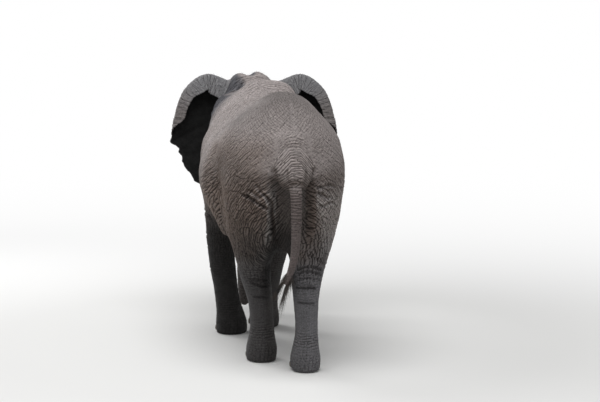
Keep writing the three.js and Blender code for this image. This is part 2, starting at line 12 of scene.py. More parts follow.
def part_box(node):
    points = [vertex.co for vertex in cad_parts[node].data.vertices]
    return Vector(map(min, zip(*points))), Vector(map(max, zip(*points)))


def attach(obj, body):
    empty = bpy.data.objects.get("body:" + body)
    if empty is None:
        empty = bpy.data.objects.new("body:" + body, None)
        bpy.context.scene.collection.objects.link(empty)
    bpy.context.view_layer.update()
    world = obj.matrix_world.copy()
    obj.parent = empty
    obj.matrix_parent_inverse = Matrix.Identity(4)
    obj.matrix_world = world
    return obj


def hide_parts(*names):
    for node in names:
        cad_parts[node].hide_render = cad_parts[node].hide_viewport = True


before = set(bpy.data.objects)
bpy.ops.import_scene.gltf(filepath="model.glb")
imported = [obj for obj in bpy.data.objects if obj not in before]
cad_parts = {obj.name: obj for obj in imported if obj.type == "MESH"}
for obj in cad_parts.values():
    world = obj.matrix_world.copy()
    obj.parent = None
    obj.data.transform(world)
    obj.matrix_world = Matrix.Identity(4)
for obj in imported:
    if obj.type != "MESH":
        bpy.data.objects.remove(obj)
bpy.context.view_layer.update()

# ---------------------------------------------------------------- landmarks and sizes

# Landmarks are (left of the midline, ahead of the hip joint, height), in thousandths of a third of the
# withers' height, as in the part's source. The right hind foot ties them to the frame.
WITHERS = 2.7
UNIT = WITHERS / 3000
RIGHT_ANKLE = (-145, -330)
foot_low, foot_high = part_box("hind_foot_right")
ORIGIN = np.array([
    (foot_low.x + foot_high.x) / 2 - RIGHT_ANKLE[0] * UNIT,
    (foot_low.y + foot_high.y) / 2 + RIGHT_ANKLE[1] * UNIT,
    0.0,
])
HEAD_YAW = -0.14  # the head's turn to the right, about an upright axis through the shoulders
NECK_PIVOT = np.array([0.0, 1600.0, 0.0])
COARSE = 0.024  # the mesh size of the flesh while its facets are smoothed away
FINE = 0.0066  # and of the skin after that
TAUBIN_STEPS = (0.5, -0.506)  # a step in and a slightly longer one out
LIGHT_ROUNDS, HEAVY_ROUNDS = 40, 260  # how often the flesh is smoothed on the head, and more on the body
SKIN_ROUNDS, ROOT_ROUNDS, DRAWN_ROUNDS, SPOT_ROUNDS = 4, 200, 100, 12  # and the skin, in all and in places
LOCAL_ROUNDS = 10  # how widely the relief is averaged, to tell a raised plate from a crease
EYE_REACH, TIP_REACH = 0.11, 0.12  # round an eye and the trunk's tip, where the skin's mesh is finer


def at(points):
    """Landmarks as places in the frame."""
    return np.asarray(points, float) * [UNIT, -UNIT, UNIT] + ORIGIN


def landmarks(places):
    """Places in the frame as landmarks."""
    return (places - ORIGIN) / [UNIT, -UNIT, UNIT]


def spun(points, angle):
    """Landmarks turned about the upright axis through the shoulders, a positive angle being to the left."""
    points = np.asarray(points, float)
    c, s = math.cos(angle), math.sin(angle)
    x, y = (points - NECK_PIVOT)[..., 0], (points - NECK_PIVOT)[..., 1]
    out = points.copy()
    out[..., 0] = NECK_PIVOT[0] + c * x + s * y
    out[..., 1] = NECK_PIVOT[1] - s * x + c * y
    return out


def on_head(points):
    """Landmarks of the straight head, carried to its turned pose."""
    return spun(points, HEAD_YAW)


def turned(ways, angle=HEAD_YAW):
    """Directions turned as spun() turns landmarks."""
    return spun(ways + NECK_PIVOT, angle) - NECK_PIVOT


# ---------------------------------------------------------------- small mathematics

def smooth(low, high, value):
    """0 below low, 1 above high, and a soft step between."""
    t = np.clip((value - low) / (high - low), 0, 1)
    return t * t * (3 - 2 * t)


def bump(distance, width):
    """1 at no distance, falling away to 0 over about twice the width."""
    return np.exp(-((distance / width) ** 2))


def lump(points, centre, halves):
    """The same round a centre, with its own width along each axis."""
    return np.exp(-(((points - np.array(centre)) / halves) ** 2).sum(1))


def curve(points, t):
    """Centripetal Catmull-Rom curve through points, at parameters t from 0 to 1."""
    points = np.asarray(points, float)
    points = np.vstack([2 * points[0] - points[1], points, 2 * points[-1] - points[-2]])
    t = np.atleast_1d(np.asarray(t, float)) * (len(points) - 3)
    k = np.clip(t.astype(int), 0, len(points) - 4)
    p = [points[k + i] for i in range(4)]
    knots = [np.zeros(len(t))]
    for i in range(3):
        knots.append(knots[-1] + np.maximum(np.linalg.norm(p[i + 1] - p[i], axis=1) ** 0.5, 1e-6))
    s = knots[1] + (t - k) * (knots[2] - knots[1])

    def between(a, b, ta, tb):
        """From a at ta to b at tb."""
        share = ((s - ta) / (tb - ta))[:, None]
        return a + (b - a) * share

    a = [between(p[i], p[i + 1], knots[i], knots[i + 1]) for i in range(3)]
    b = [between(a[i], a[i + 1], knots[i], knots[i + 2]) for i in range(2)]
    return between(b[0], b[1], knots[1], knots[2])


# ---------------------------------------------------------------- meshes

def new_object(name, places, faces):
    """A smoothly shaded mesh in the scene."""
    mesh = bpy.data.meshes.new(name)
    mesh.from_pydata(np.asarray(places).tolist(), [], faces)
    mesh.update()
    mesh.polygons.foreach_set("use_smooth", np.ones(len(mesh.polygons), bool))
    obj = bpy.data.objects.new(name, mesh)
    bpy.context.scene.collection.objects.link(obj)
    return obj


def joined(name, objects):
    """One new object with all the vertices and faces of several."""
    places, faces, count = [], [], 0
    for obj in objects:
        co = places_of(obj.data)
        places.append(co)
        faces += [[v + count for v in f.vertices] for f in obj.data.polygons]
        count += len(co)
    return new_object(name, np.vstack(places), faces)


def values_of(items, field):
    """One whole number of each of a mesh's items."""
    values = np.empty(len(items), np.int32)
    items.foreach_get(field, values)
    return values


def vectors_of(items, field):
    """One vector of each of a mesh's items."""
    values = np.empty(len(items) * 3, np.float32)
    items.foreach_get(field, values)
    return values.reshape(-1, 3).astype(float)


def places_of(mesh):
    """The place of each vertex."""
    return vectors_of(mesh.vertices, "co")


def set_places(mesh, co):
    """Moves each vertex to its new place."""
    mesh.vertices.foreach_set("co", co.astype(np.float32).ravel())
    mesh.update()


def edges_of(mesh):
    """The two vertices of each edge."""
    edges = np.empty(len(mesh.edges) * 2, np.int32)
    mesh.edges.foreach_get("vertices", edges)
    return edges.reshape(-1, 2)


def with_modifiers(obj, *modifiers):
    """The object with modifiers applied, each given as (type, settings)."""
    for kind, settings in modifiers:
        modifier = obj.modifiers.new(kind, kind)
        for key, value in settings.items():
            setattr(modifier, key, value)
    shape = bpy.data.meshes.new_from_object(obj.evaluated_get(bpy.context.evaluated_depsgraph_get()))
    obj.modifiers.clear()
    old, obj.data = obj.data, shape
    bpy.data.meshes.remove(old)
    return obj


def remeshed(obj, size):
    """The object as one closed mesh of even cells."""
    return with_modifiers(obj, ("REMESH", {"mode": "VOXEL", "voxel_size": size, "use_smooth_shade": True}))


def edge_counts(edges, count):
    """How many edges meet at each of count vertices, and at least 1."""
    return np.maximum(np.bincount(edges.ravel(), minlength=count), 1)


def neighbour_mean(values, edges, count):
    """The mean of each vertex's neighbours. count is how many it has."""
    a, b = edges.T
    n = len(values)
    columns = [np.bincount(a, column[b], n) + np.bincount(b, column[a], n) for column in values.T]
    return np.stack(columns, 1) / count[:, None]


def relaxed(co, edges, rounds, share=None):
    """Taubin smoothing: it takes out facets and steps, and keeps the volume. share is how much each vertex
    moves."""
    count = edge_counts(edges, len(co))
    out = co.copy()
    for step in TAUBIN_STEPS * rounds:
        out += step * (neighbour_mean(out, edges, count) - out)
    return out if share is None else co + (out - co) * share[:, None]


def relaxed_near(co, edges, share, rounds):
    """The same for only those vertices whose share is above 0."""
    which = np.flatnonzero(share > 0)
    number = np.full(len(co), -1)
    number[which] = np.arange(len(which))
    local = number[edges]
    out = co.copy()
    out[which] = relaxed(co[which], local[(local >= 0).all(1)], rounds, share[which])
    return out


def tree_of(places):
    """A tree in which the nearest of the places is found."""
    tree = KDTree(len(places))
    for i, place in enumerate(places):
        tree.insert(place, i)
    tree.balance()
    return tree


def refined(obj, spots, times):
    """Splits the faces within each spot, a (place, reach), into four, so many times over."""
    for _ in range(times):
        co = places_of(obj.data)
        near = np.zeros(len(co), bool)
        for place, reach in spots:
            near |= np.linalg.norm(co - place, axis=1) < reach
        bm = bmesh.new()
        bm.from_mesh(obj.data)
        bm.edges.ensure_lookup_table()
        inner = np.flatnonzero(near[edges_of(obj.data)].all(1))
        bmesh.ops.subdivide_edges(bm, edges=[bm.edges[i] for i in inner], cuts=1, use_grid_fill=True)
        bm.to_mesh(obj.data)
        bm.free()


# ---------------------------------------------------------------- the flesh, without facets

FLESH = sorted(
    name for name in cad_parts
    if not name.startswith(("eye", "tusk")) and "_nail_" not in name and name != "tail_tuft"
)


def flesh_surface():
    """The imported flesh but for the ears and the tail, joined, with its facets smoothed away."""
    ridges = [
        tube("sacrum", SACRUM, lambda t: 70 + 55 * t, 24, 20),
        tube("tail_root", TAIL[:3], lambda t: tail_radius(t * 2 / 7), 24, 20),
    ]
    packed_nodes = [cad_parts[n] for n in FLESH if n not in ("ear_left", "ear_right", "tail")]
    whole = joined("flesh", packed_nodes + ridges)
    for ridge in ridges:
        bpy.data.objects.remove(ridge)
    remeshed(whole, COARSE)
    co, edges = places_of(whole.data), edges_of(whole.data)
    up = landmarks(co)[:, 2]
    straight = spun(landmarks(co), -HEAD_YAW)
    head = smooth(2550, 2800, straight[:, 1])
    light = relaxed(co, edges, LIGHT_ROUNDS)
    heavy = relaxed(light, edges, HEAVY_ROUNDS)
    root = smooth(480, 220, np.linalg.norm(landmarks(co) - [12, -450, 2200], axis=1))
    body = (1 - head) * smooth(150, 500, up) * (1 - 0.8 * root)
    co = light + (heavy - light) * body[:, None]
    co[:, 2] = np.maximum(co[:, 2], 0)
    set_places(whole.data, co)
    return with_modifiers(whole, ("SUBSURF", {"levels": 1, "render_levels": 1}))


def grid_faces(rows, columns):
    """The faces between rings of places, each with the same number of columns."""
    faces = []
    for i in range(rows - 1):
        for j in range(columns):
            k = (j + 1) % columns
            faces.append([i * columns + j, i * columns + k, (i + 1) * columns + k, (i + 1) * columns + j])
    return faces


def lofted(name, rings):
    """A closed skin over rings of points, all with the same number."""
    rings = np.asarray(rings)
    rows, columns = rings.shape[:2]
    faces = grid_faces(rows, columns)
    faces.append(list(range(columns))[::-1])
    faces.append([(rows - 1) * columns + j for j in range(columns)])
    return new_object(name, rings.reshape(-1, 3), faces)


# The tail's course, and the ridge over the sacrum that runs down into it.
TAIL = [
    (10, -330, 2290), (14, -500, 2090), (22, -630, 1930), (28, -705, 1790),
    (34, -735, 1500), (50, -740, 1250), (90, -740, 1080), (150, -735, 950),
]
SACRUM = [(0, 320, 2630), (4, 0, 2610), (8, -240, 2450), (10, -400, 2270), (12, -470, 2110)]
TAIL_ROOT = 0.18  # share of the tail at which its broad root is widest


def tail_radius(t):
    """The tail's radius, which swells at the root and closes at the start."""
    above = bump(t - TAIL_ROOT, 0.16)
    below = bump(t - TAIL_ROOT, 0.15) * smooth(0.345, 0.3, t)
    return (80 - 52 * t + 88 * np.where(t < TAIL_ROOT, above, below)) * smooth(-0.07, 0.07, t)


def tube(name, points, radius, steps, sides):
    """A tube along a curve of landmarks, with radius(t) thousandths for t from 0 to 1."""
    t = np.linspace(0, 1, steps)
    axis = curve(points, t)
    along = np.gradient(axis, axis=0)
    along /= np.linalg.norm(along, axis=1)[:, None]
    across = np.array([1.0, 0, 0]) - along * along[:, :1]
    across /= np.linalg.norm(across, axis=1)[:, None]
    over = np.cross(along, across)
    turn = np.linspace(0, 2 * math.pi, sides, endpoint=False)
    ring = across[:, None] * np.cos(turn)[None, :, None] + over[:, None] * np.sin(turn)[None, :, None]
    return lofted(name, at(axis[:, None] + ring * radius(t)[:, None, None]))


# The ear is a sheet from its root on the head to its rim, whose upper part folds over backwards.
EAR_ROOT = [(230, 2750, 2880), (310, 2800, 2560), (270, 2910, 2180)]
EAR_RIM = [
    (300, 2760, 2960), (590, 2730, 3050), (840, 2690, 2880), (965, 2670, 2580), (1010, 2680, 2240),
    (860, 2730, 1930), (640, 2810, 1620), (450, 2900, 1560), (360, 2950, 1800), (310, 2940, 2100),
]
FOLD_RADIUS, FOLD_ANGLE, FOLD_DROP = 55, 2.9, 195
FOLD_END = 0.435  # share of the rim at which the fold has run out
EAR_CORNER = 0.447  # and at which the lower corner points
RIM_LENGTH = 3260  # of the whole rim, in thousandths
EAR_STEPS, EAR_GRID = (260, 120), (400, 180)  # the sheet's places along and across, as built and as searched


def grid(rows, columns):
    """u and v, both from 0 to 1, over a grid of places, row by row."""
    along, across = np.linspace(0, 1, rows), np.linspace(0, 1, columns)
    return np.repeat(along, columns), np.tile(across, rows)


def sheet_normals(middle):
    """The way that a grid of places faces."""
    return unit(np.cross(np.gradient(middle, axis=0), np.gradient(middle, axis=1)))


def unit(v):
    """Directions of length 1."""
    return v / np.maximum(np.linalg.norm(v, axis=-1, keepdims=True), 1e-9)


def torn_rim(u):
    """How far the ear's pointed corner and its torn lower edge stand out from a smooth rim."""
    lower = smooth(0.45, 0.48, u) * smooth(0.72, 0.62, u)
    line = np.stack([u * RIM_LENGTH, 0 * u, 0 * u], 1)
    torn = 20 * noise(line, 80, 5) + 11 * noise(line, 33, 6)
    return 34 * bump(u - EAR_CORNER, 0.013) - 22 * bump(u - 0.478, 0.016) + lower * (torn - 10)


def ear_middle(u, v):
    """The ear's middle surface, for u along the rim and v from the root out, both from 0 to 1, and how far
    each place lies beyond the crest at which the rim turns over."""
    root, rim = curve(EAR_ROOT, u), curve(EAR_RIM, u)
    edge = unit(curve(EAR_RIM, np.minimum(u + 0.004, 1)) - curve(EAR_RIM, np.maximum(u - 0.004, 0)))
    out = unit(np.cross(edge, [0.0, 1.0, 0.0]))
    left = np.clip(1 - u / FOLD_END, 0, 1)
    angle = FOLD_ANGLE * np.minimum(1, 5 * left) ** 0.6
    crest = rim - out * (FOLD_RADIUS * np.sin(np.minimum(angle, math.pi / 2)) - torn_rim(u))[:, None]
    bend, drop = FOLD_RADIUS * angle, FOLD_DROP * (0.25 + 0.75 * left) * np.minimum(1, 6 * left)
    drop = drop * (1 + 0.1 * noise(np.stack([u * RIM_LENGTH, 0 * u, 0 * u], 1), 190, 9))
    length = np.linalg.norm(crest - root, axis=1)
    s = v * (length + bend + drop)
    cup = np.sin(math.pi * np.clip(s / length, 0, 1)) * 35
    plate = root + (crest - root) * np.clip(s / length, 0, 1)[:, None]
    plate[:, 1] += cup
    turn = np.clip(s - length, 0, bend) / FOLD_RADIUS
    rest = np.maximum(0, s - length - bend)
    over = out * (FOLD_RADIUS * np.sin(turn) + rest * np.cos(turn))[:, None]
    over[:, 1] -= FOLD_RADIUS * (1 - np.cos(turn)) + rest * np.sin(turn)
    return plate + over, s - length


def ear(name, side):
    """A closed ear, thinner towards its rim. side is 1 on the left and -1 on the right."""
    rows, columns = EAR_STEPS
    u, v = grid(rows, columns)
    middle = ear_middle(u, v)[0].reshape(rows, columns, 3)
    normal = sheet_normals(middle)
    half = (46 - 26 * v).reshape(rows, columns, 1) / 2
    rings = np.concatenate([middle - normal * half, (middle + normal * half)[:, ::-1]], axis=1)
    rings[..., 0] *= side
    if side > 0:
        rings = rings[:, ::-1]
    return lofted(name, at(on_head(rings)))


# ---------------------------------------------------------------- random patterns

SEED_PRIME, HASH_PRIMES = 374761393, (2654435761, 2246822519, 3266489917)
ALL_BITS = 0xFFFFFFFF
PLATE_SPREAD = 0.85  # how far a plate's middle may be off, as a share of its size


def hashed(seed, *whole):
    """Random numbers from 0 to 1 that depend only on whole numbers."""
    mixed = np.full(np.broadcast(*whole).shape, seed * SEED_PRIME & ALL_BITS, np.uint32)
    for number, prime in zip(whole, HASH_PRIMES):
        mixed = (mixed ^ (number.astype(np.int64) & ALL_BITS).astype(np.uint32)) * np.uint32(prime)
        mixed ^= mixed >> np.uint32(15)
    mixed *= np.uint32(HASH_PRIMES[1])
    mixed ^= mixed >> np.uint32(13)
    return (mixed & np.uint32(0xFFFFFF)) / float(0xFFFFFF)


def noise(points, size, seed):
    """Smooth noise from -1 to 1 with lumps of about the given size."""
    scaled = points / size
    base = np.floor(scaled)
    t = scaled - base
    t = t * t * t * (t * (t * 6 - 15) + 10)
    total = 0
    for i in (0, 1):
        for j in (0, 1):
            for k in (0, 1):
                share = np.prod(np.where([i, j, k], t, 1 - t), axis=1)
                total = total + share * hashed(seed, base[:, 0] + i, base[:, 1] + j, base[:, 2] + k)
    return 2 * total - 1


def rough(points, size, seed, octaves=3):
    """Noise with finer noise added."""
    whole = sum(noise(points, size / 2**i, seed + i) / 2**i for i in range(octaves))
    return whole / (2 - 0.5 ** (octaves - 1))


def plates(u, v, size_u, size_v, width, seed, turn_u=0, turn_v=0):
    """Hide in plates of about size_u by size_v: 0 on a plate, and down to -1 in the creases between plates,
    which reach out by width to each side. turn_u or turn_v is the number of plates after which the surface
    closes on itself."""
    a, b = u / size_u, v / size_v
    first, second = np.full(len(a), 9.0), np.full(len(a), 9.0)
    near, next_near = np.zeros((len(a), 2)), np.zeros((len(a), 2))
    for da in (-1, 0, 1):
        for db in (-1, 0, 1):
            ca, cb = np.floor(a) + da, np.floor(b) + db
            key = (np.mod(ca, turn_u) if turn_u else ca, np.mod(cb, turn_v) if turn_v else cb)
            x = ca + 0.5 + PLATE_SPREAD * (hashed(seed, *key) - 0.5) - a
            y = cb + 0.5 + PLATE_SPREAD * (hashed(seed + 1, *key) - 0.5) - b
            away, to = x * x + y * y, np.stack([x, y], 1)
            is_first = away < first
            is_second = ~is_first & (away < second)
            next_near[is_second], second[is_second] = to[is_second], away[is_second]
            next_near[is_first], second[is_first] = near[is_first], first[is_first]
            near[is_first], first[is_first] = to[is_first], away[is_first]
    across = next_near - near
    slope = np.hypot(across[:, 0] / size_u, across[:, 1] / size_v)
    edge = np.abs(((near + next_near) / 2 * across).sum(1)) / np.maximum(slope, 1e-9)
    return smooth(0, width, edge) - 1


# ---------------------------------------------------------------- where things are on the skin

LEGS = {
    "front_left": [
        (340, 1850, 2150, 285), (385, 1780, 1650, 245), (410, 1735, 1330, 190), (402, 1810, 1000, 158),
        (365, 1865, 740, 152), (330, 1870, 500, 138), (300, 1880, 300, 148), (268, 1900, 130, 175),
    ],
    "front_right": [
        (-330, 1910, 2150, 285), (-350, 1870, 1650, 245), (-345, 1880, 1330, 190), (-295, 2020, 1000, 158),
        (-250, 2120, 740, 152), (-220, 2160, 500, 138), (-200, 2190, 300, 148), (-185, 2230, 130, 175),
    ],
    "hind_left": [
        (315, 60, 2000, 285), (330, 130, 1600, 265), (300, 270, 1250, 212), (268, 310, 960, 170),
        (212, 250, 640, 127), (206, 225, 400, 126), (203, 265, 130, 155),
    ],
    "hind_right": [
        (-315, 0, 2000, 285), (-325, 20, 1600, 255), (-270, 30, 1250, 205), (-218, -50, 960, 166),
        (-165, -265, 640, 119), (-150, -350, 400, 114), (-145, -330, 130, 146),
    ],
}
FRONT_RIGHT, HIND_RIGHT = 1, 3  # as LEGS numbers them
FORELEG_TOP, HIND_LEG_TOP = 1330, 1060  # the heights at which the legs' plates give way to the body's
TRUNK = [
    (0, 3290, 2020), (0, 3400, 1640), (35, 3450, 1280), (75, 3440, 930), (105, 3385, 600),
    (115, 3330, 330), (115, 3335, 170), (110, 3390, 105),
]
TRUNK_RADII = [205, 170, 148, 128, 108, 90, 78, 66]
TUSK = [(190, 3230, 2050), (238, 3385, 1760), (282, 3570, 1560), (300, 3800, 1450), (285, 4000, 1470)]
EYE_RADIUS = 21
PATH_STEPS, PATH_REACH = 40, 150  # a curve's places, and how far off it the skin is searched
PATH_ROUNDS, EAR_ROUNDS = 4, 8  # how often a curve on the skin is evened out, and the ears' values
SIDES = {"left": 1, "right": -1}
EYES = {name: landmarks(np.mean(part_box(f"eye_{name}"), axis=0)) for name in SIDES}


def tusk_radius(t):
    """A tusk's radius in thousandths, for t from its root to its tip."""
    return 48 - 34 * t**2.2


def trunk_radius(t):
    """The trunk's radius in the same way."""
    return np.interp(t, np.linspace(0, 1, len(TRUNK)), TRUNK_RADII)


def from_curve(points, line, reach, steps=PATH_STEPS):
    """For places within reach of a curve: which they are, how far they lie from it, and where along it."""
    path = curve(line, np.linspace(0, 1, steps))
    low, high = path.min(0) - reach, path.max(0) + reach
    near = np.flatnonzero(((points > low) & (points < high)).all(1))
    p = points[near]
    away, where = np.full(len(p), 1e9), np.zeros(len(p))
    for i in range(steps - 1):
        step = path[i + 1] - path[i]
        t = np.clip(((p - path[i]) @ step) / max(step @ step, 1e-9), 0, 1)
        d = np.linalg.norm(p - path[i] - t[:, None] * step, axis=1)
        closer = d < away
        away = np.where(closer, d, away)
        where = np.where(closer, (i + t) / (steps - 1), where)
    close = away < reach
    return near[close], away[close], where[close]


def ear_grid():
    """Places on the middle of an ear, with their u, how far they lie beyond the rim's crest and from the
    root, and the direction that the back of the ear faces."""
    rows, columns = EAR_GRID
    u, v = grid(rows, columns)
    middle, beyond = ear_middle(u, v)
    normal = sheet_normals(middle.reshape(rows, columns, 3)).reshape(-1, 3)
    start = beyond.reshape(rows, columns)[:, :1]
    return u, beyond, (beyond.reshape(rows, columns) - start).ravel(), middle, normal


class Hide:
    """The skin as landmarks, with the shares that each part of the body has in every vertex."""

    def __init__(self, mesh):
        """Reads the skin, and finds where each part lies on it."""
        self.mesh = mesh
        self.edges = edges_of(mesh)
        self.refresh()
        self.groove = np.zeros(len(self.at))
        self.find_parts()

    def refresh(self):
        """Reads the places and normals again after the skin has moved."""
        self.mesh.update()
        self.at = landmarks(places_of(self.mesh))
        self.straight = spun(self.at, -HEAD_YAW)
        self.normal = unit(vectors_of(self.mesh.vertices, "normal") * [1, -1, 1])

    def shift(self, by):
        """Moves the skin by thousandths, and keeps it above the floor."""
        moved = self.at + by
        moved[:, 2] = np.maximum(moved[:, 2], 0)
        set_places(self.mesh, at(moved))
        self.refresh()

    def move(self, out):
        """Moves the skin out along its normals by thousandths."""
        self.shift(self.normal * out[:, None])

    def darken(self, which, share):
        """Marks some vertices as lying in a groove, where the hide's colour gets painted shade."""
        self.groove[which] = np.maximum(self.groove[which], share)

    def find_parts(self):
        """The share of each part in every vertex, from 0 to 1."""
        self.find_ears()
        self.find_legs()
        trunk = self.find_tube(self.straight, TRUNK, 300, trunk_radius, (1.6, 1.25), (-0.01, 0.1))
        tail = self.find_tube(self.at, TAIL, 260, tail_radius, (1.5, 1.15), (0.04, 0.14))
        self.trunk, self.trunk_t = trunk
        self.tail, self.tail_t = tail
        self.leg *= (1 - self.trunk) * (1 - self.tail)
        self.find_body()

    def find_legs(self):
        """Which leg each vertex is nearest to, and the turn round it from behind."""
        left, ahead, up = self.at.T
        count = len(left)
        self.leg_turn, self.leg_name = np.zeros(count), np.zeros(count)
        nearest = np.full(count, 9.0)
        for number, stations in enumerate(LEGS.values()):
            s = np.array(stations)[::-1]
            x, y, half = (np.interp(up, s[:, 2], s[:, i]) for i in (0, 1, 3))
            away = np.hypot(left - x, ahead - y) / half
            closer = away < nearest
            nearest = np.where(closer, away, nearest)
            self.leg_name[closer] = number
            self.leg_turn[closer] = np.arctan2(left - x, y - ahead)[closer]
        top = np.where(self.leg_name < 2, FORELEG_TOP, HIND_LEG_TOP)
        self.leg = smooth(2.0, 1.5, nearest) * smooth(top + 120, top - 120, up) * (1 - self.ear)

    def find_tube(self, points, line, reach, radius, beside, along):
        """The share of a tube along a curve in each vertex, and how far along it that vertex lies."""
        share, t = np.zeros(len(points)), np.zeros(len(points))
        which, away, where = from_curve(points, line, reach, 60)
        share[which] = smooth(*beside, away / radius(where)) * smooth(*along, where)
        t[which] = where
        return share, t

    def find_body(self):
        """The head, the ridge over the sacrum, the hips and the barrel share what is left."""
        left, ahead, up = self.at.T
        free = (1 - self.ear) * (1 - self.leg) * (1 - self.trunk) * (1 - self.tail)
        self.head = smooth(2560, 2680, self.straight[:, 1]) * free
        sacral = smooth(230, 120, np.abs(left - 12)) * smooth(2480, 2330, up) * smooth(1980, 2060, up)
        behind = smooth(1080, 760, ahead + 0.35 * (up - 1900)) * free
        self.sacrum = sacral * smooth(0.1, -0.3, self.normal[:, 1]) * behind
        self.hips = behind - self.sacrum
        self.barrel = np.clip(free - self.head - behind, 0, 1)

    def find_ears(self):
        """Where each vertex lies on its ear, from the nearest place of the ear's middle surface."""
        self.ear, self.ear_u, self.ear_beyond = (np.zeros(len(self.at)) for _ in range(3))
        self.ear_root, self.ear_back = (np.zeros(len(self.at)) for _ in range(2))
        u, beyond, from_root, middle, facing = ear_grid()
        tree = tree_of(middle)
        side = np.sign(self.straight[:, :1]) * [1, 0, 0] + [0, 1, 1]
        one_side = self.straight * side
        low, high = middle.min(0) - 40, middle.max(0) + 40
        near = np.flatnonzero(((one_side > low) & (one_side < high)).all(1))
        found = [tree.find(place)[1:] for place in one_side[near]]
        nearest = np.array([f[0] for f in found])
        away = np.array([f[1] for f in found])
        normal = turned(self.normal[near], -HEAD_YAW) * side[near]
        self.ear[near] = smooth(46, 30, away) * smooth(20, 100, from_root[nearest])
        self.ear_u[near], self.ear_beyond[near] = u[nearest], beyond[nearest]
        self.ear_root[near] = from_root[nearest]
        self.ear_back[near] = smooth(-0.25, 0.25, (normal * facing[nearest]).sum(1))
        self.evened(near)

    def evened(self, near):
        """Takes the steps between the grid's places out of what the ears' vertices were given."""
        names = ("ear_u", "ear_beyond", "ear_root", "ear_back")
        number = np.full(len(self.at), -1)
        number[near] = np.arange(len(near))
        edges = number[self.edges]
        edges = edges[(edges >= 0).all(1)]
        count = edge_counts(edges, len(near))
        values = np.stack([getattr(self, name)[near] for name in names], 1)
        for _ in range(EAR_ROUNDS):
            values = (values + neighbour_mean(values, edges, count)) / 2
        for name, column in zip(names, values.T):
            getattr(self, name)[near] = column

    def on_skin(self, line, straight=False):
        """A curve's places moved on to the skin, and evened out."""
        points = self.straight if straight else self.at
        path = curve(line, np.linspace(0, 1, PATH_STEPS))
        low, high = path.min(0) - PATH_REACH, path.max(0) + PATH_REACH
        near = points[((points > low) & (points < high)).all(1)][::3]
        if len(near) < 50:
            return path
        found = np.array([near[((near - place) ** 2).sum(1).argmin()] for place in path])
        for _ in range(PATH_ROUNDS):
            found[1:-1] = (found[:-2] + 2 * found[1:-1] + found[2:]) / 4
        return found

    def fold(self, line, depth, width, lips=0.4, ends=0.3, straight=False):
        """A crease along a curve on the skin, with soft lips beside it: how far it moves each vertex."""
        points = self.straight if straight else self.at
        path = self.on_skin(line, straight)
        which, away, where = from_curve(points, path, width * 5)
        taper = smooth(0, ends, where) * smooth(1, 1 - ends, where)
        away = np.abs(away + 0.35 * width * noise(points[which], 4 * width, 7))
        wide = width * (0.45 + 0.55 * taper)
        shape = -bump(away, wide) + lips * bump(away - 2.2 * wide, 1.2 * wide)
        out = np.zeros(len(self.at))
        out[which] = depth * taper * shape
        # painted shade along the crease
        dark = taper * bump(away, wide * 0.85) * min(1, depth / 22) * min(1, 12 / width)
        self.darken(which, dark)
        return out


# ---------------------------------------------------------------- folds and forms

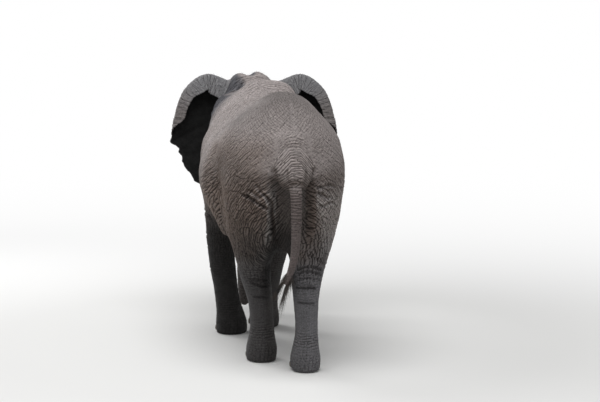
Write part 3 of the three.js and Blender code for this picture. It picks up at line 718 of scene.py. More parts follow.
# Creases where the joints and the loose skin fold: a curve, then the depth and width in thousandths. Some
# add the height of the lips beside the crease, as a share of its depth, and the share of its length in which
# each end runs out.
BODY_FOLDS = [
    # behind the right hock and heel
    ([(-80, -150, 1000), (-160, -250, 1053), (-280, -260, 1042), (-358, -180, 990)], 15, 11, 0.5, 0.15),
    ([(-70, -170, 965), (-170, -250, 1010), (-289, -260, 985), (-350, -190, 950)], 12, 10, 0.5, 0.15),
    ([(-70, -180, 905), (-150, -250, 940), (-250, -265, 935), (-340, -200, 890)], 9, 10, 0.5, 0.15),
    ([(-60, -213, 823), (-99, -280, 845), (-182, -323, 849), (-290, -295, 825)], 15, 10, 0.5, 0.15),
    ([(-57, -285, 698), (-138, -389, 700), (-248, -361, 690)], 12, 9, 0.5, 0.15),
    ([(-230, -250, 1180), (-300, -240, 1110), (-370, -130, 1060), (-390, -40, 1050)], 12, 11),
    ([(-120, -290, 1190), (-200, -320, 1150), (-290, -290, 1130), (-370, -190, 1150)], 9, 11),
    # behind the left hock
    ([(340, 150, 890), (329, 100, 884), (237, 80, 886), (161, 128, 872)], 11, 10, 0.5, 0.15),
    ([(345, 150, 862), (323, 110, 847), (248, 85, 822), (116, 175, 800)], 14, 10, 0.5, 0.15),
    ([(310, 150, 706), (297, 116, 699), (222, 87, 703), (140, 130, 680)], 11, 9, 0.5, 0.15),
    # the left ham's inner edge, and the two long folds that run together into it
    ([(351, -455, 1854), (314, -468, 1817), (278, -479, 1778), (254, -482, 1732), (245, -476, 1692),
      (244, -460, 1630), (234, -437, 1548), (216, -407, 1459), (207, -367, 1376), (196, -320, 1313)],
     27, 14, 0.4, 0.15),
    ([(532, -255, 1825), (477, -321, 1795), (403, -392, 1758), (346, -426, 1712), (288, -455, 1682),
      (250, -460, 1640)], 22, 15, 0.5, 0.2),
    ([(478, -326, 1830), (432, -383, 1842), (378, -423, 1806), (335, -455, 1750)], 12, 16, 0.4, 0.35),
    ([(382, -444, 1930), (362, -454, 1885), (335, -461, 1826)], 12, 15, 0.4, 0.35),
    # beside and under the broad root of the tail
    ([(240, -530, 2100), (215, -544, 2030), (180, -551, 1960), (120, -563, 1900)], 16, 26),
    ([(-215, -545, 2100), (-190, -561, 2030), (-150, -569, 1960), (-90, -571, 1900)], 16, 26),
    ([(96, -640, 2080), (92, -665, 2000), (84, -690, 1890)], 13, 18, 0.4),
    ([(-66, -640, 2080), (-58, -665, 2000), (-44, -690, 1890)], 13, 18, 0.4),
    # the right ham
    ([(-170, -520, 1900), (-260, -500, 1880), (-350, -430, 1900), (-450, -300, 1850)], 11, 13),
    ([(-180, -500, 1800), (-250, -480, 1810), (-330, -430, 1770), (-400, -360, 1780)], 12, 13),
    ([(-200, -470, 1700), (-280, -440, 1690), (-370, -380, 1720), (-440, -280, 1680)], 10, 12),
    # up the front of each thigh, where the flank's loose skin joins it
    ([(560, 480, 1180), (600, 560, 1350), (640, 590, 1560), (660, 560, 1760)], 8, 28),
    ([(-560, 430, 1180), (-600, 520, 1350), (-640, 550, 1560), (-660, 520, 1760)], 12, 26),
    ([(520, 560, 1190), (600, 700, 1330), (670, 780, 1500)], 6, 22),
    ([(-520, 520, 1190), (-600, 680, 1330), (-670, 760, 1500)], 8, 20),
    # behind the shoulders and elbows
    ([(560, 1440, 1330), (620, 1400, 1500), (660, 1350, 1750), (650, 1300, 2000)], 24, 20),
    ([(-520, 1560, 1330), (-600, 1500, 1500), (-650, 1440, 1750), (-650, 1380, 2000)], 24, 20),
    ([(560, 1520, 1280), (600, 1600, 1400), (620, 1700, 1450), (600, 1850, 1460)], 18, 15),
    ([(-500, 1650, 1280), (-560, 1720, 1400), (-590, 1820, 1450), (-560, 1980, 1460)], 18, 15),
    # across the elbows and wrists
    ([(520, 1650, 1150), (560, 1760, 1180), (540, 1900, 1190), (450, 1990, 1180)], 8, 12),
    ([(500, 1680, 1030), (545, 1780, 1050), (520, 1910, 1060), (430, 1980, 1050)], 6, 11),
    ([(500, 1780, 760), (500, 1900, 775), (420, 2000, 775), (330, 2020, 765)], 8, 10),
    ([(-460, 1850, 1150), (-500, 1960, 1180), (-470, 2100, 1190), (-390, 2180, 1180)], 13, 11),
    ([(-380, 2020, 760), (-370, 2160, 775), (-290, 2260, 775), (-200, 2280, 765)], 12, 9),
]


def both_sides(lines):
    """Creases of the left side, each with its mirror image on the right."""
    return [([(side * x, y, z) for x, y, z in line], *rest) for line, *rest in lines for side in (1, -1)]


# The same on the straight head and neck.
HEAD_FOLDS = both_sides([
    # the mouth, and the cheek behind its corner
    ([(205, 2870, 2020), (195, 2970, 1965), (185, 3060, 1917), (150, 3150, 1875), (95, 3235, 1836)], 30, 11),
    ([(230, 2790, 2080), (240, 2850, 2000), (230, 2900, 1940)], 14, 12),
    # the slit of the temple's gland, and the hole of the ear
    ([(292, 2975, 2550), (298, 2970, 2490), (292, 2965, 2430)], 12, 6),
    ([(300, 2870, 2370), (300, 2860, 2420), (296, 2850, 2470)], 24, 14),
    # from the brow down to the tusk, beside the root of the trunk
    ([(190, 3230, 2500), (215, 3190, 2400), (225, 3200, 2300), (240, 3200, 2180)], 12, 16),
    ([(150, 3370, 2250), (140, 3420, 2100), (135, 3430, 1950), (130, 3440, 1800)], 12, 14),
    # the neck's folds behind the ear
    ([(300, 2580, 2900), (380, 2560, 2650), (400, 2540, 2400), (370, 2560, 2150), (300, 2620, 1950)], 20, 20),
    ([(330, 2440, 2850), (420, 2420, 2600), (440, 2400, 2350), (400, 2400, 2100), (330, 2420, 1880)], 18, 20),
    ([(360, 2290, 2700), (470, 2280, 2500), (500, 2250, 2250), (470, 2230, 1980)], 14, 20),
])


def between_hams(hide):
    """The recess below the root of the tail, from 0 to 1."""
    left, _, up = hide.at.T
    rear = smooth(0.1, -0.45, hide.normal[:, 1]) * (1 - hide.ear) * (1 - hide.tail) * (1 - hide.leg)
    across = smooth(285, 195, left) * smooth(-225, -135, left)
    return rear * across * smooth(2030, 1900, up) * smooth(1180, 1480, up)


def eye_axes(side):
    """Which way an eye looks, and which way is forward and up across it, on the straight head."""
    outward = unit(np.array([side * 100.0, 35, 8]))
    forward = unit(np.cross([0, 0, 1.0], outward) * side)
    return outward, forward, np.cross(outward, forward) * side


def set_eyes(hide):
    """Opens the lids over each eyeball, and folds the skin round them."""
    for name, side in SIDES.items():
        centre = spun(EYES[name], -HEAD_YAW)
        outward, forward, upward = eye_axes(side)
        to = hide.straight - centre
        near = np.flatnonzero(np.linalg.norm(to, axis=1) < 130)
        a, b, h = to[near] @ forward, to[near] @ upward, to[near] @ outward
        b = b + 0.18 * a
        facing = smooth(-20, 0, h)
        away = np.hypot(a, b)
        lid = np.sqrt(np.maximum((EYE_RADIUS + 7) ** 2 - (a * 0.8) ** 2 - b**2, 0))
        upper = 3.5 * bump(np.hypot(a, b - 13), 11)
        height = np.logaddexp(h / 5, (lid + upper) / 5) * 5
        height -= 6 * bump(np.hypot(a * 0.8, b) - 31, 3.5) * smooth(-25, 10, b)
        height -= 5 * bump(np.hypot(a * 0.75, b) - 30, 3) * smooth(10, -10, b)
        for ring, depth in ((43, 5), (56, 4.5), (71, 4), (88, 3)):
            wave = ring + 5 * noise(hide.straight[near], 40, 300 + ring)
            height -= depth * bump(np.hypot(a * 0.8, b * 1.05) - wave, 3.6)
        share = smooth(112, 90, away)
        top, bottom = 10.5, 8.5
        gap = np.where(b > 0, b / top, -b / bottom) + (np.abs(a) / 20) ** 2
        inside = smooth(1.12, 0.9, gap)
        ball = np.sqrt(np.maximum(EYE_RADIUS**2 - away**2, 0))
        height = height * (1 - inside) + np.maximum(ball - 9, 0) * inside
        by = np.zeros_like(hide.at)
        by[near] = outward * ((height - h) * share * facing)[:, None]
        # painted shade inside the lids' opening
        hide.darken(near, inside * facing)
        hide.shift(turned(by) * (np.abs(by).sum(1) > 0)[:, None])


def open_trunk(hide):
    """The two nostrils and the two fingers at the trunk's tip."""
    end = np.array(TRUNK[-1], float)
    along = unit(end - np.array(TRUNK[-2], float))
    over = unit(np.cross(along, [1.0, 0, 0]))
    over *= np.sign(over[1]) or 1
    to = hide.straight - end
    near = np.flatnonzero((np.linalg.norm(to, axis=1) < 120) & (to @ along > -30))
    forth, across, high = to[near] @ along, to[near, 0], to[near] @ over
    face = smooth(0, 40, forth)
    by = np.zeros(len(hide.at))
    fingers = 26 * bump(np.hypot(across, high - 48), 24) + 18 * bump(np.hypot(across, high + 48), 26)
    holes = sum(bump(np.hypot(across - side * 24, high), 15) for side in (1, -1))
    by[near] = face * (fingers - 46 * holes - 12 * bump(np.hypot(across, high), 44))
    # painted shade in the nostrils
    hide.darken(near, face * holes)
    hide.shift(turned(along * by[:, None]) * (by != 0)[:, None])


def forms(hide):
    """The large forms: muscle, hollows and deep creases."""
    left, _, up = hide.at.T
    x, y, z = hide.straight.T
    body = 1 - np.maximum(hide.ear, hide.tail)
    out = body * 9 * rough(hide.at, 420, 11, 3)
    back = smooth(0.2, 0.8, hide.normal[:, 2]) * hide.barrel
    out += 16 * bump(left + 10, 70) * back
    out -= 95 * between_hams(hide)
    ridge = bump(left - 12, np.interp(up, [2150, 2550], [135, 80])) * smooth(2640, 2300, up)
    out += 52 * ridge * smooth(2080, 2200, up) * smooth(0.2, -0.2, hide.normal[:, 1]) * (1 - 0.5 * hide.tail)
    out += 17 * lump(hide.at, (135, -600, 1985), (62, 110, 120)) * hide.tail
    out += 15 * lump(hide.at, (-112, -600, 2000), (60, 110, 110)) * hide.tail
    out += 30 * lump(hide.at, (310, -430, 2010), (150, 150, 130))
    out += 26 * lump(hide.at, (-290, -450, 2010), (140, 150, 130))
    for line, *sizes in BODY_FOLDS:
        out += hide.fold(line, *sizes)
    for line, depth, width in HEAD_FOLDS:
        out += hide.fold(line, depth, width, straight=True)
    crown = hide.head * smooth(2880, 3000, z) * smooth(2950, 2800, y)
    for height, place, width in ((12, -45, 60), (10, 190, 60), (-24, 72, 50), (-16, 330, 80)):
        out += crown * height * bump(x - place, width)
    out -= 34 * lump(np.abs(hide.straight), (300, 2900, 2640), (120, 96, 104)) * hide.head
    for side in SIDES.values():
        which, away, where = from_curve(hide.straight * [side, 1, 1], TUSK, 160, 30)
        beside = away - tusk_radius(where)
        out[which] += 12 * bump(beside - 20, 11) - 14 * bump(beside, 7)
        # painted shade round the tusk's root
        hide.darken(which, bump(beside - 2, 7))
    hide.move(out)
    set_eyes(hide)
    open_trunk(hide)


# ---------------------------------------------------------------- wrinkles

def slanted(up):
    """How far forward the flank's ridges have run by a height: they slant below the hips, and hang lower
    down."""
    heights = np.linspace(600, 2900, 116)
    slope = np.interp(heights, [600, 1000, 1250, 1500, 1750, 2000, 2900], [0, 0.12, 0.4, 0.8, 1.15, 1.3, 1.3])
    run = np.concatenate([[0], np.cumsum((slope[1:] + slope[:-1]) / 2 * np.diff(heights))])
    return np.interp(up, heights, run)


# Each function below gives, for the vertices k, their relief in thousandths, which is 0 on the plates and
# negative in the creases, then the finer grain as u, v, its size in u and in v, and its strength. warp bends
# the patterns.

def hips_relief(hide, warp, k):
    """The rump, hams, thighs and the back of the flanks."""
    left, ahead, up = hide.at[k].T
    turn = np.arctan2(left + 5, 150 - ahead)
    side = np.sign(turn)
    apart = 9000 * (side < 0)  # the two sides' patterns differ
    around = np.abs(turn) * 620 + warp[k, 0] * smooth(0.02, 0.3, np.abs(turn))
    high = up + warp[k, 1]
    run = slanted(high)
    down = plates(around + run + apart, high - 0.6 * around, 33, 170, 12, 71)
    cross = plates(around - run + apart, high + 0.6 * around, 42, 130, 11, 81)
    long = plates(around + run + apart, high - 0.6 * around, 98, 340, 17, 75)
    flank = smooth(0.3, 0.95, np.abs(turn)) * smooth(2560, 2250, up) * np.where(side > 0, 1, 0.6)
    top = smooth(2050, 2350, up) * (1 - 0.6 * smooth(0.7, 1.4, np.abs(turn)))
    thigh = smooth(1700, 1450, up)
    uneven = 1 + 0.45 * noise(hide.at[k], 150, 78)
    ham = smooth(2080, 1820, up) * smooth(0.12, 0.3, np.abs(turn))
    h = (2.2 + 4 * flank + 5.5 * ham + 1.5 * thigh) * (1 - 0.35 * top) * uneven * down
    h += (1.4 + 1.4 * top + 4.5 * ham * (side < 0)) * (1 - 0.5 * flank) * cross
    h += (1.5 + 3 * flank + 5 * ham) * long
    # level with the back where the turning pattern would close up
    flat = smooth(400, 200, np.hypot(left + 5, 150 - ahead))
    u, v = ahead + 0.4 * left + warp[k, 0], left - 0.4 * ahead + warp[k, 1]
    ridges = plates(u, v, 38, 120, 12, 91)
    net = plates(u - v, v + u, 50, 90, 11, 95)
    h = h * (1 - flat) + (2.6 * ridges + 1.6 * net) * flat
    inside = flat > 0.5
    u, v = np.where(inside, u + 5000, around + run + apart), np.where(inside, v, high - 0.6 * around)
    return h, u, v, 19, np.where(inside, 60, 110), smooth(0.01, 0.06, np.abs(turn)) * np.abs(2 * flat - 1)


def sacrum_relief(hide, warp, k):
    """Rings that arch over the ridge above the tail."""
    left, _, up = hide.at[k].T
    arch = up + (left - 12) ** 2 / 330 + warp[k, 0] * 0.3
    rings = plates(arch, left, 27, 150, 10, 301)
    cross = plates(arch + left, left - arch * 0.6, 46, 90, 12, 311)
    band = bump(left - 12, 95)
    return (1.5 + 3.0 * band) * rings + 2 * cross, arch, left, 14, 50, 1


def barrel_relief(hide, warp, k):
    """The barrel, shoulders and neck: creases that hang from the spine."""
    left, ahead, up = hide.at[k].T
    turn = np.arctan2(left + 20, up - 1950)
    slant = 0.28 * (up - 1950) * smooth(0.3, 0.9, np.abs(np.sin(turn)))
    u = ahead + slant + warp[k, 0]
    around = turn / (2 * math.pi) * 4300 + warp[k, 1]
    main = plates(u, around, 42, 4300 / 26, 13, 101, turn_v=26)
    big = plates(u, around, 130, 4300 / 11, 30, 111, turn_v=11)
    small = plates(u + 0.4 * around, around, 34, 4300 / 86, 10, 121, turn_v=86)
    front = smooth(1900, 2400, ahead)
    belly = smooth(-0.2, -0.7, hide.normal[k, 2])
    h = (3.6 - 1.2 * belly) * main + (3 + 6 * front) * big + 1.8 * small
    return h, u, around, 21, 70, smooth(math.pi - 0.01, math.pi - 0.03, np.abs(turn))


def head_relief(hide, warp, k):
    """A net round the brow that spreads to the cheeks."""
    z = hide.straight[k, 2]
    towards = unit(hide.straight[k] - [0, 2850, 2400])
    ahead_and_up, over = np.array([0, 0.8, 0.6]), np.array([0, -0.6, 0.8])
    angle = np.arccos(np.clip(towards @ ahead_and_up, -1, 1))
    radial = 420 * angle / np.maximum(np.sin(angle), 0.05)
    u, v = towards @ over * radial + warp[k, 0] * 0.6, towards[:, 0] * radial + warp[k, 1] * 0.6
    net = plates(u, v, 32, 46, 10, 131)
    fine = plates(u + 0.5 * v, v - 0.5 * u, 21, 33, 8, 141)
    cheek = smooth(2500, 2250, z)
    return (2.2 + 1.6 * cheek) * net + 1.4 * fine, u, v, 12, 17, 1


def trunk_relief(hide, warp, k):
    """Rings that come closer and shallower towards the tip."""
    t, x, y = hide.trunk_t[k], hide.straight[k, 0], hide.straight[k, 1]
    along = np.linspace(0, 1, 40)
    size = np.interp(along, [0, 0.3, 0.7, 1], [40, 34, 27, 22])
    ring = np.interp(t, along, np.cumsum(2350 / 40 / size)) * 30
    across = x * 1.2 + y * 0.8
    rings = plates(ring + warp[k, 0] * 0.3, across, 30, 230, 11, 151)
    net = plates(ring, across, 22, 34, 8, 161)
    depth = np.interp(t, along, size / 40)
    return 7 * depth * rings + 1.6 * net, ring, across, 10, 24, 1


def leg_relief(hide, warp, k):
    """Plates round each leg, with rings at the knee or hock and above the foot."""
    name, up = hide.leg_name[k], hide.at[k, 2]
    turn = hide.leg_turn[k]
    around = turn / (2 * math.pi) * 950
    upright = plates(around, up + warp[k, 1], 950 / 34, 110, 10, 171, turn_u=34)
    level = plates(up + warp[k, 0] * 0.35 + 6 * np.sin(turn * 2), around, 27, 950 / 7, 11, 181, turn_v=7)
    net = plates(up + warp[k, 0] * 0.4, around, 27, 950 / 30, 10, 191, turn_v=30)
    high = smooth(800, 1000, up)
    knee = np.where(name < 2, bump(up - 800, 150), bump(up - 900, 150))
    ankle = bump(up - 320, 95)
    foot = smooth(250, 150, up)
    h = (3.2 * high + 0.8 + 1.4 * foot) * upright
    h += (0.7 + 2.4 * knee + 3.6 * ankle) * level
    h += (1.2 + high * 1.4 + 1.6 * foot) * net
    return h, up, around, 15, 22, smooth(math.pi - 0.03, math.pi - 0.06, np.abs(turn))


def tail_relief(hide, warp, k):
    """Rings that hang in arches where the tail is broad."""
    left, _, up = hide.at[k].T
    t = hide.tail_t[k]
    middle = np.interp(t, np.linspace(0, 1, len(TAIL)), [p[0] for p in TAIL])
    root = smooth(0.4, 0.25, t)
    aside = np.maximum(np.abs(left - middle) - 55, 0)
    arch = up + (0.9 * aside + (left - middle) ** 2 / 900) * root + warp[k, 0] * 0.12
    rings = plates(arch, left, 28, 170, 11, 201)
    upper = smooth(0.66, 0.45, t)
    return (1.6 + 3.2 * upper + 1.4 * root) * rings, arch, left, 12, 40, 1


def ear_relief(hide, warp, k):
    """Folds over the rim, and a fine net and veins on the sheet."""
    u, out = hide.ear_u[k] * RIM_LENGTH + warp[k, 0], hide.ear_root[k]
    rim = smooth(-60, 10, hide.ear_beyond[k]) * smooth(0.46, 0.4, hide.ear_u[k])
    loose = u + 45 * noise(np.stack([u, out, 0 * u], 1), 150, 217)
    across = plates(loose, out + 0.4 * loose, 70, 300, 30, 211)
    thin = plates(loose, out, 30, 150, 13, 221)
    net = plates(u * 0.8 + out * 0.2, out, 36, 46, 10, 231)
    spread = np.stack([u * 0.35, out * 0.9, 0 * u], 1)
    veins = smooth(0.16, 0, np.abs(noise(spread, 90, 241)))
    soft = 0.75 + 0.6 * noise(np.stack([u, 0 * u, 0 * u], 1), 160, 219)
    soft = soft * np.interp(hide.ear_u[k], [0.04, 0.1, 0.2, 0.4], [0.3, 0.8, 0.75, 0.8])
    h = rim * (5.5 * soft * across + 2.6 * thin)
    h += (1 - rim) * (1.6 * net + (1 - hide.ear_back[k]) * 2.5 * veins)
    return h, u, out, 18, 40, 1


def wrinkles(hide):
    """The whole skin's relief, and its finer grain as (u, v, size in u, size in v, strength)."""
    count = len(hide.at)
    wide = np.stack([rough(hide.at, 300, 31, 2), rough(hide.at, 300, 41, 2)], 1) * 30
    warp = wide + np.stack([noise(hide.at, 70, 51), noise(hide.at, 70, 61)], 1) * 6
    parts = [
        (hide.hips, hips_relief), (hide.sacrum, sacrum_relief),
        (hide.barrel, barrel_relief), (hide.head, head_relief),
        (hide.trunk, trunk_relief), (hide.leg, leg_relief),
        (hide.tail, tail_relief), (hide.ear, ear_relief),
    ]
    relief, grain = 0.9 * noise(hide.at, 24, 251), np.ones((count, 5)) * [0, 0, 1, 1, 0]
    for number, (weight, make) in enumerate(parts):
        which = np.flatnonzero(weight > 0.01)
        height, u, v, size_u, size_v, strength = make(hide, warp, which)
        relief[which] += weight[which] * height
        leads = weight[which] > 0.5
        apart = 1000 * number  # the parts' grains differ
        rows = np.stack(np.broadcast_arrays(u / size_u + apart, v / size_v, size_u, size_v, strength), 1)
        rows[:, 4] *= 2 * weight[which] - 1
        grain[which[leads]] = rows[leads]
    return relief, grain


# ---------------------------------------------------------------- colours over the body

DUST_AND_TOP_LIGHT = (0.285, 0.255, 0.248)  # dust, and painted light, on what faces up
BARE = (0.15, 0.124, 0.112)  # the hide's own colour
# the shanks' darker colour: partly the hide's own tone, partly painted shade
SHANK = (0.1, 0.1, 0.108)
# painted light on the rear of the right hind leg
PAINTED_SHANK_LIGHT = (0.2, 0.2, 0.215)
# painted shade on the neck and head
PAINTED_NECK_SHADE = (0.061, 0.063, 0.073)
EAR_RIM_TONE = (0.19, 0.19, 0.198)
# painted black shade on the back of the ear
PAINTED_EAR_BACK_SHADE = (0.005, 0.005, 0.005)
TAIL_TONE = (0.13, 0.108, 0.104)
PINK = (0.3, 0.272, 0.268)
PAINTED_SHADE = (0.035, 0.032, 0.03)  # painted shade, in hollows and under the body


def blended(colour, other, share):
    """A colour over another, by a share from 0 to 1."""
    return colour + (np.array(other) - colour) * np.clip(share, 0, 1)[:, None]


def tones(hide, facing):
    """The hide's colour over the body, with its painted light and shade, but without its creases. facing is
    the normals of the smooth skin.
    """
    colour = ground_tones(hide, facing)
    colour = ear_tones(colour, hide)
    colour = rear_tones(colour, hide, facing)
    colour = face_tones(colour, hide, facing)
    return colour * (1 + 0.1 * rough(hide.at, 110, 421, 3))[:, None]


def ground_tones(hide, facing):
    """Dust and painted light on what faces up, a pinkish top of the barrel that is partly painted light,
    darker shanks that are partly painted shade, painted shade on the neck's lower and left sides, and painted
    shade between the hams and beneath.
    """
    _, ahead, up = hide.at.T
    cloud = rough(hide.at, 500, 401, 3)
    upper = smooth(1450, 2150, up + 160 * cloud)
    # dust, with painted light, on what faces up and on the upper body
    dust_and_top_light = np.clip(smooth(-0.55, 0.5, facing[:, 2] + 0.15 * cloud), 0, 1) * (0.25 + 0.75 * upper)
    colour = blended(np.tile(BARE, (len(up), 1)), DUST_AND_TOP_LIGHT, dust_and_top_light)
    # a paler, pinkish top of the barrel: partly the hide's own tint, partly painted light on what faces up
    colour = blended(colour, PINK, hide.barrel * smooth(0.5, 0.9, facing[:, 2]) * 0.6)
    # darker towards the feet: partly the hide's own tone, partly painted shade
    colour = blended(colour, SHANK, smooth(1650, 760, up + 80 * cloud) * 0.9)
    neck = hide.head + hide.barrel * smooth(1650, 2350, ahead) * smooth(1900, 2450, up)
    turned_down, turned_left = smooth(0.85, 0.4, facing[:, 2]), smooth(0.05, 0.5, facing[:, 0])
    crown = smooth(2780, 2900, hide.straight[:, 2]) * (1 - turned_left)
    face = smooth(2800, 3000, hide.straight[:, 1])
    shade = np.maximum(turned_down, turned_left) * (1 - 0.5 * crown) * (1 - 0.6 * face)
    # painted shade on the neck and head where they turn down or to the left
    colour = blended(colour, PAINTED_NECK_SHADE, 0.95 * neck * shade)
    # painted shade in the recess between the hams
    colour = blended(colour, PAINTED_SHADE, between_hams(hide) * 0.6)
    # painted shade on what faces down, under the body
    return blended(colour, PAINTED_SHADE, smooth(-0.3, -0.9, facing[:, 2]) * 0.5 * smooth(400, 900, up))


def ear_tones(colour, hide):
    """Pale along the folded rim, browner towards the ear's corner, and painted black shade on the ear's back.
    """
    colour = blended(colour, EAR_RIM_TONE, hide.ear)
    outer = smooth(0.16, 0.34, hide.ear_u) * smooth(-60, 40, hide.ear_beyond)
    colour = blended(colour, BARE, 0.55 * hide.ear * outer)
    # painted black shade on the ear's back
    return blended(colour, PAINTED_EAR_BACK_SHADE, hide.ear * hide.ear_back)


def rear_tones(colour, hide, facing):
    """Painted shade on the legs' inner and rear sides, the rump's upper side, the left flank and the cleft
    between the hind legs, painted light on the right hind leg's rear and the right ham, and the darker tail.
    """
    left, ahead, up = hide.at.T
    rearward = smooth(0.5, -0.5, facing[:, 1])
    # painted shade on the legs' inner sides, between the legs
    inner = hide.leg * smooth(0.2, -0.4, facing[:, 0] * np.where(hide.leg_name % 2 == 0, 1, -1))
    colour = blended(colour, PAINTED_SHADE, inner * 0.45)
    # painted shade on the rear sides of the left hind leg and the left foreleg
    behind = rearward * (left > 0) * (1 - hide.ear) * (1 - hide.tail)
    colour = blended(colour, PAINTED_SHADE, 0.65 * behind * smooth(1850, 1200, up) * smooth(900, 600, ahead))
    colour = blended(colour, PAINTED_SHADE, 0.85 * behind * smooth(1650, 1200, up) * smooth(1300, 1600, ahead))
    # painted light on the rear side of the right hind leg
    lit_rear_shank = rearward * hide.leg * (hide.leg_name == HIND_RIGHT)
    colour = blended(colour, PAINTED_SHANK_LIGHT, 0.4 * lit_rear_shank)
    colour = blended(colour, TAIL_TONE, hide.tail * smooth(0.3, 0.45, hide.tail_t))
    # painted shade on what faces up over the rump and the back behind the shoulders
    back = smooth(0.4, 0.95, facing[:, 2]) * (1 - hide.ear) * smooth(1500, 300, ahead)
    colour = colour * (1 - 0.57 * back)[:, None]
    # painted shade, darker and bluer, on the hips' left side
    flank = hide.hips * smooth(0.2, 0.6, facing[:, 0]) * smooth(2500, 2200, up)
    colour = colour * (1 - flank[:, None] * [0.14, 0.19, 0.23])
    # painted shade on the right foreleg's rear and left sides
    shadowed = np.maximum(rearward, smooth(0, 0.5, facing[:, 0]))
    colour = blended(colour, PAINTED_SHADE, 0.8 * hide.leg * (hide.leg_name == FRONT_RIGHT) * shadowed)
    # painted shade in the cleft between the hind legs
    cleft_shade = smooth(260, 160, left) * smooth(-110, -50, left) * smooth(1000, 700, ahead)
    cleft_shade = cleft_shade * smooth(600, 950, up) * smooth(1560, 1330, up)
    colour = colour * (1 - 0.68 * cleft_shade * (1 - hide.tail) * smooth(0.5, 0, facing[:, 1]))[:, None]
    # more painted shade on the left foreleg's rear side
    front_left = behind * smooth(1650, 1200, up) * smooth(1300, 1600, ahead)
    colour = colour * (1 - 0.65 * front_left)[:, None]
    # painted light on the right-facing side of the right ham
    right_ham_light = hide.hips * smooth(0, -0.4, facing[:, 0]) * smooth(2000, 1700, up) * smooth(700, 300, ahead)
    return colour * (1 + (right_ham_light * smooth(1050, 1300, up))[:, None] * [0.72, 0.86, 0.94])


def face_tones(colour, hide, facing):
    """The trunk, with painted shade on its rear side, and the pink freckles of the brow and the trunk."""
    _, y, z = hide.straight.T
    colour = blended(colour, BARE, hide.trunk * 0.5)
    # painted shade on the trunk's rear side
    colour = blended(colour, PAINTED_SHADE, hide.trunk * 0.6 * smooth(0.4, -0.5, facing[:, 1]))
    pale = hide.head * bump(np.hypot(y - 3100, z - 2600), 420) + hide.trunk * bump(hide.trunk_t, 0.3)
    return blended(colour, PINK, pale * smooth(0, 0.3, noise(hide.at, 60, 411)) * 0.25)


ATTRIBUTE_KINDS = {1: ("FLOAT", "value"), 3: ("FLOAT_VECTOR", "vector"), 4: ("FLOAT_COLOR", "color")}


def add_attribute(mesh, name, values):
    """Keeps a number, a vector or a colour for each vertex, for the materials."""
    kind, field = ATTRIBUTE_KINDS[values.size // len(values)]
    mesh.attributes.new(name, kind, "POINT").data.foreach_set(field, values.astype(np.float32).ravel())


def dressed(skin):
    """Gives the skin its forms and wrinkles, and keeps in attributes what its colours need."""
    hide = Hide(skin.data)
    forms(hide)
    facing = hide.normal.copy()
    relief, grain = wrinkles(hide)
    hide.move(relief)
    count = edge_counts(hide.edges, len(relief))
    local = relief[:, None]
    for _ in range(LOCAL_ROUNDS):
        local = neighbour_mean(local, hide.edges, count)
    above = relief - local[:, 0]
    # painted highlight on the raised plates, stronger on the left ham
    left_ham = hide.hips * smooth(2000, 1750, hide.at[:, 2]) * smooth(100, 250, hide.at[:, 0])
    # painted shade in the creases and the marked grooves
    crease = np.maximum(0.9 * smooth(0.2, 2.9, -above), hide.groove)
    add_attribute(skin.data, "crease", np.clip(crease, 0, 1))
    add_attribute(skin.data, "raised", smooth(0.2, 2.5, above) * (0.55 + 0.45 * left_ham))
    add_attribute(skin.data, "grain", np.concatenate([grain[:, :2], 0 * grain[:, :1]], 1))
    add_attribute(skin.data, "grain_size", np.concatenate([grain[:, 2:4] * UNIT, grain[:, 4:]], 1))
    tone = np.concatenate([tones(hide, facing), np.ones((len(relief), 1))], 1)
    add_attribute(skin.data, "tone", np.clip(tone, 0, 1))
    return hide


# ---------------------------------------------------------------- the skin

def drawn_up(co, edges, mark):
    """The skin with the thin edge that hangs where the thighs meet drawn up into the belly."""
    away = np.hypot(mark[:, 0] - 62, mark[:, 1] + 285)
    hanging = smooth(120, 80, away) * (mark[:, 2] > 1000) * np.maximum(1232 - mark[:, 2], 0)
    co[:, 2] += hanging * UNIT
    return relaxed_near(co, edges, smooth(260, 160, np.hypot(away, mark[:, 2] - 1180)), DRAWN_ROUNDS)


def skin_base():
    """One closed skin of even cells over the flesh, the tail and the ears, finer at the eyes and the trunk's
    tip."""
    parts = [
        flesh_surface(),
        tube("tail", TAIL, tail_radius, 160, 48),
        ear("ear_left_form", 1),
        ear("ear_right_form", -1),
    ]
    skin = joined("skin", parts)
    for part in parts:
        bpy.data.objects.remove(part)
    remeshed(skin, FINE)
    spots = [(at(eye), EYE_REACH) for eye in EYES.values()] + [(at(on_head(TRUNK[-1])), TIP_REACH)]
    refined(skin, spots, 2)
    co, edges = places_of(skin.data), edges_of(skin.data)
    co = relaxed(co, edges, SKIN_ROUNDS)
    mark = landmarks(co)
    root = smooth(400, 250, np.linalg.norm(mark - [12, -450, 2280], axis=1)) * smooth(2060, 2160, mark[:, 2])
    co = relaxed_near(co, edges, root, ROOT_ROUNDS)
    co = drawn_up(co, edges, mark)
    for place, reach in spots:
        share = smooth(reach, reach * 0.7, np.linalg.norm(co - place, axis=1))
        co = relaxed_near(co, edges, share, SPOT_ROUNDS)
    co[:, 2] = np.maximum(co[:, 2], 0)
    set_places(skin.data, co)
    return skin


# ---------------------------------------------------------------- the skin's map

BAKE_MAP = "OFBake"
PATCH = 0.003  # the side of a hair's patch on the map
CHART_GAP = 0.0015  # between charts on the map
SMALL_CHART = 500  # charts with fewer faces join a neighbour
FACING_ROUNDS, MERGE_ROUNDS, FIT_ROUNDS = 24, 4, 24
MAPPED_COUNT, MAPPED_SEED = 60000, 3  # the vertices of the skin among which a hair's root is looked for


def add_map(mesh, uv):
    """Adds the map named for baking, from the place of each corner of a face."""
    mesh.uv_layers.new(name=BAKE_MAP).data.foreach_set("uv", uv.astype(np.float32).ravel())


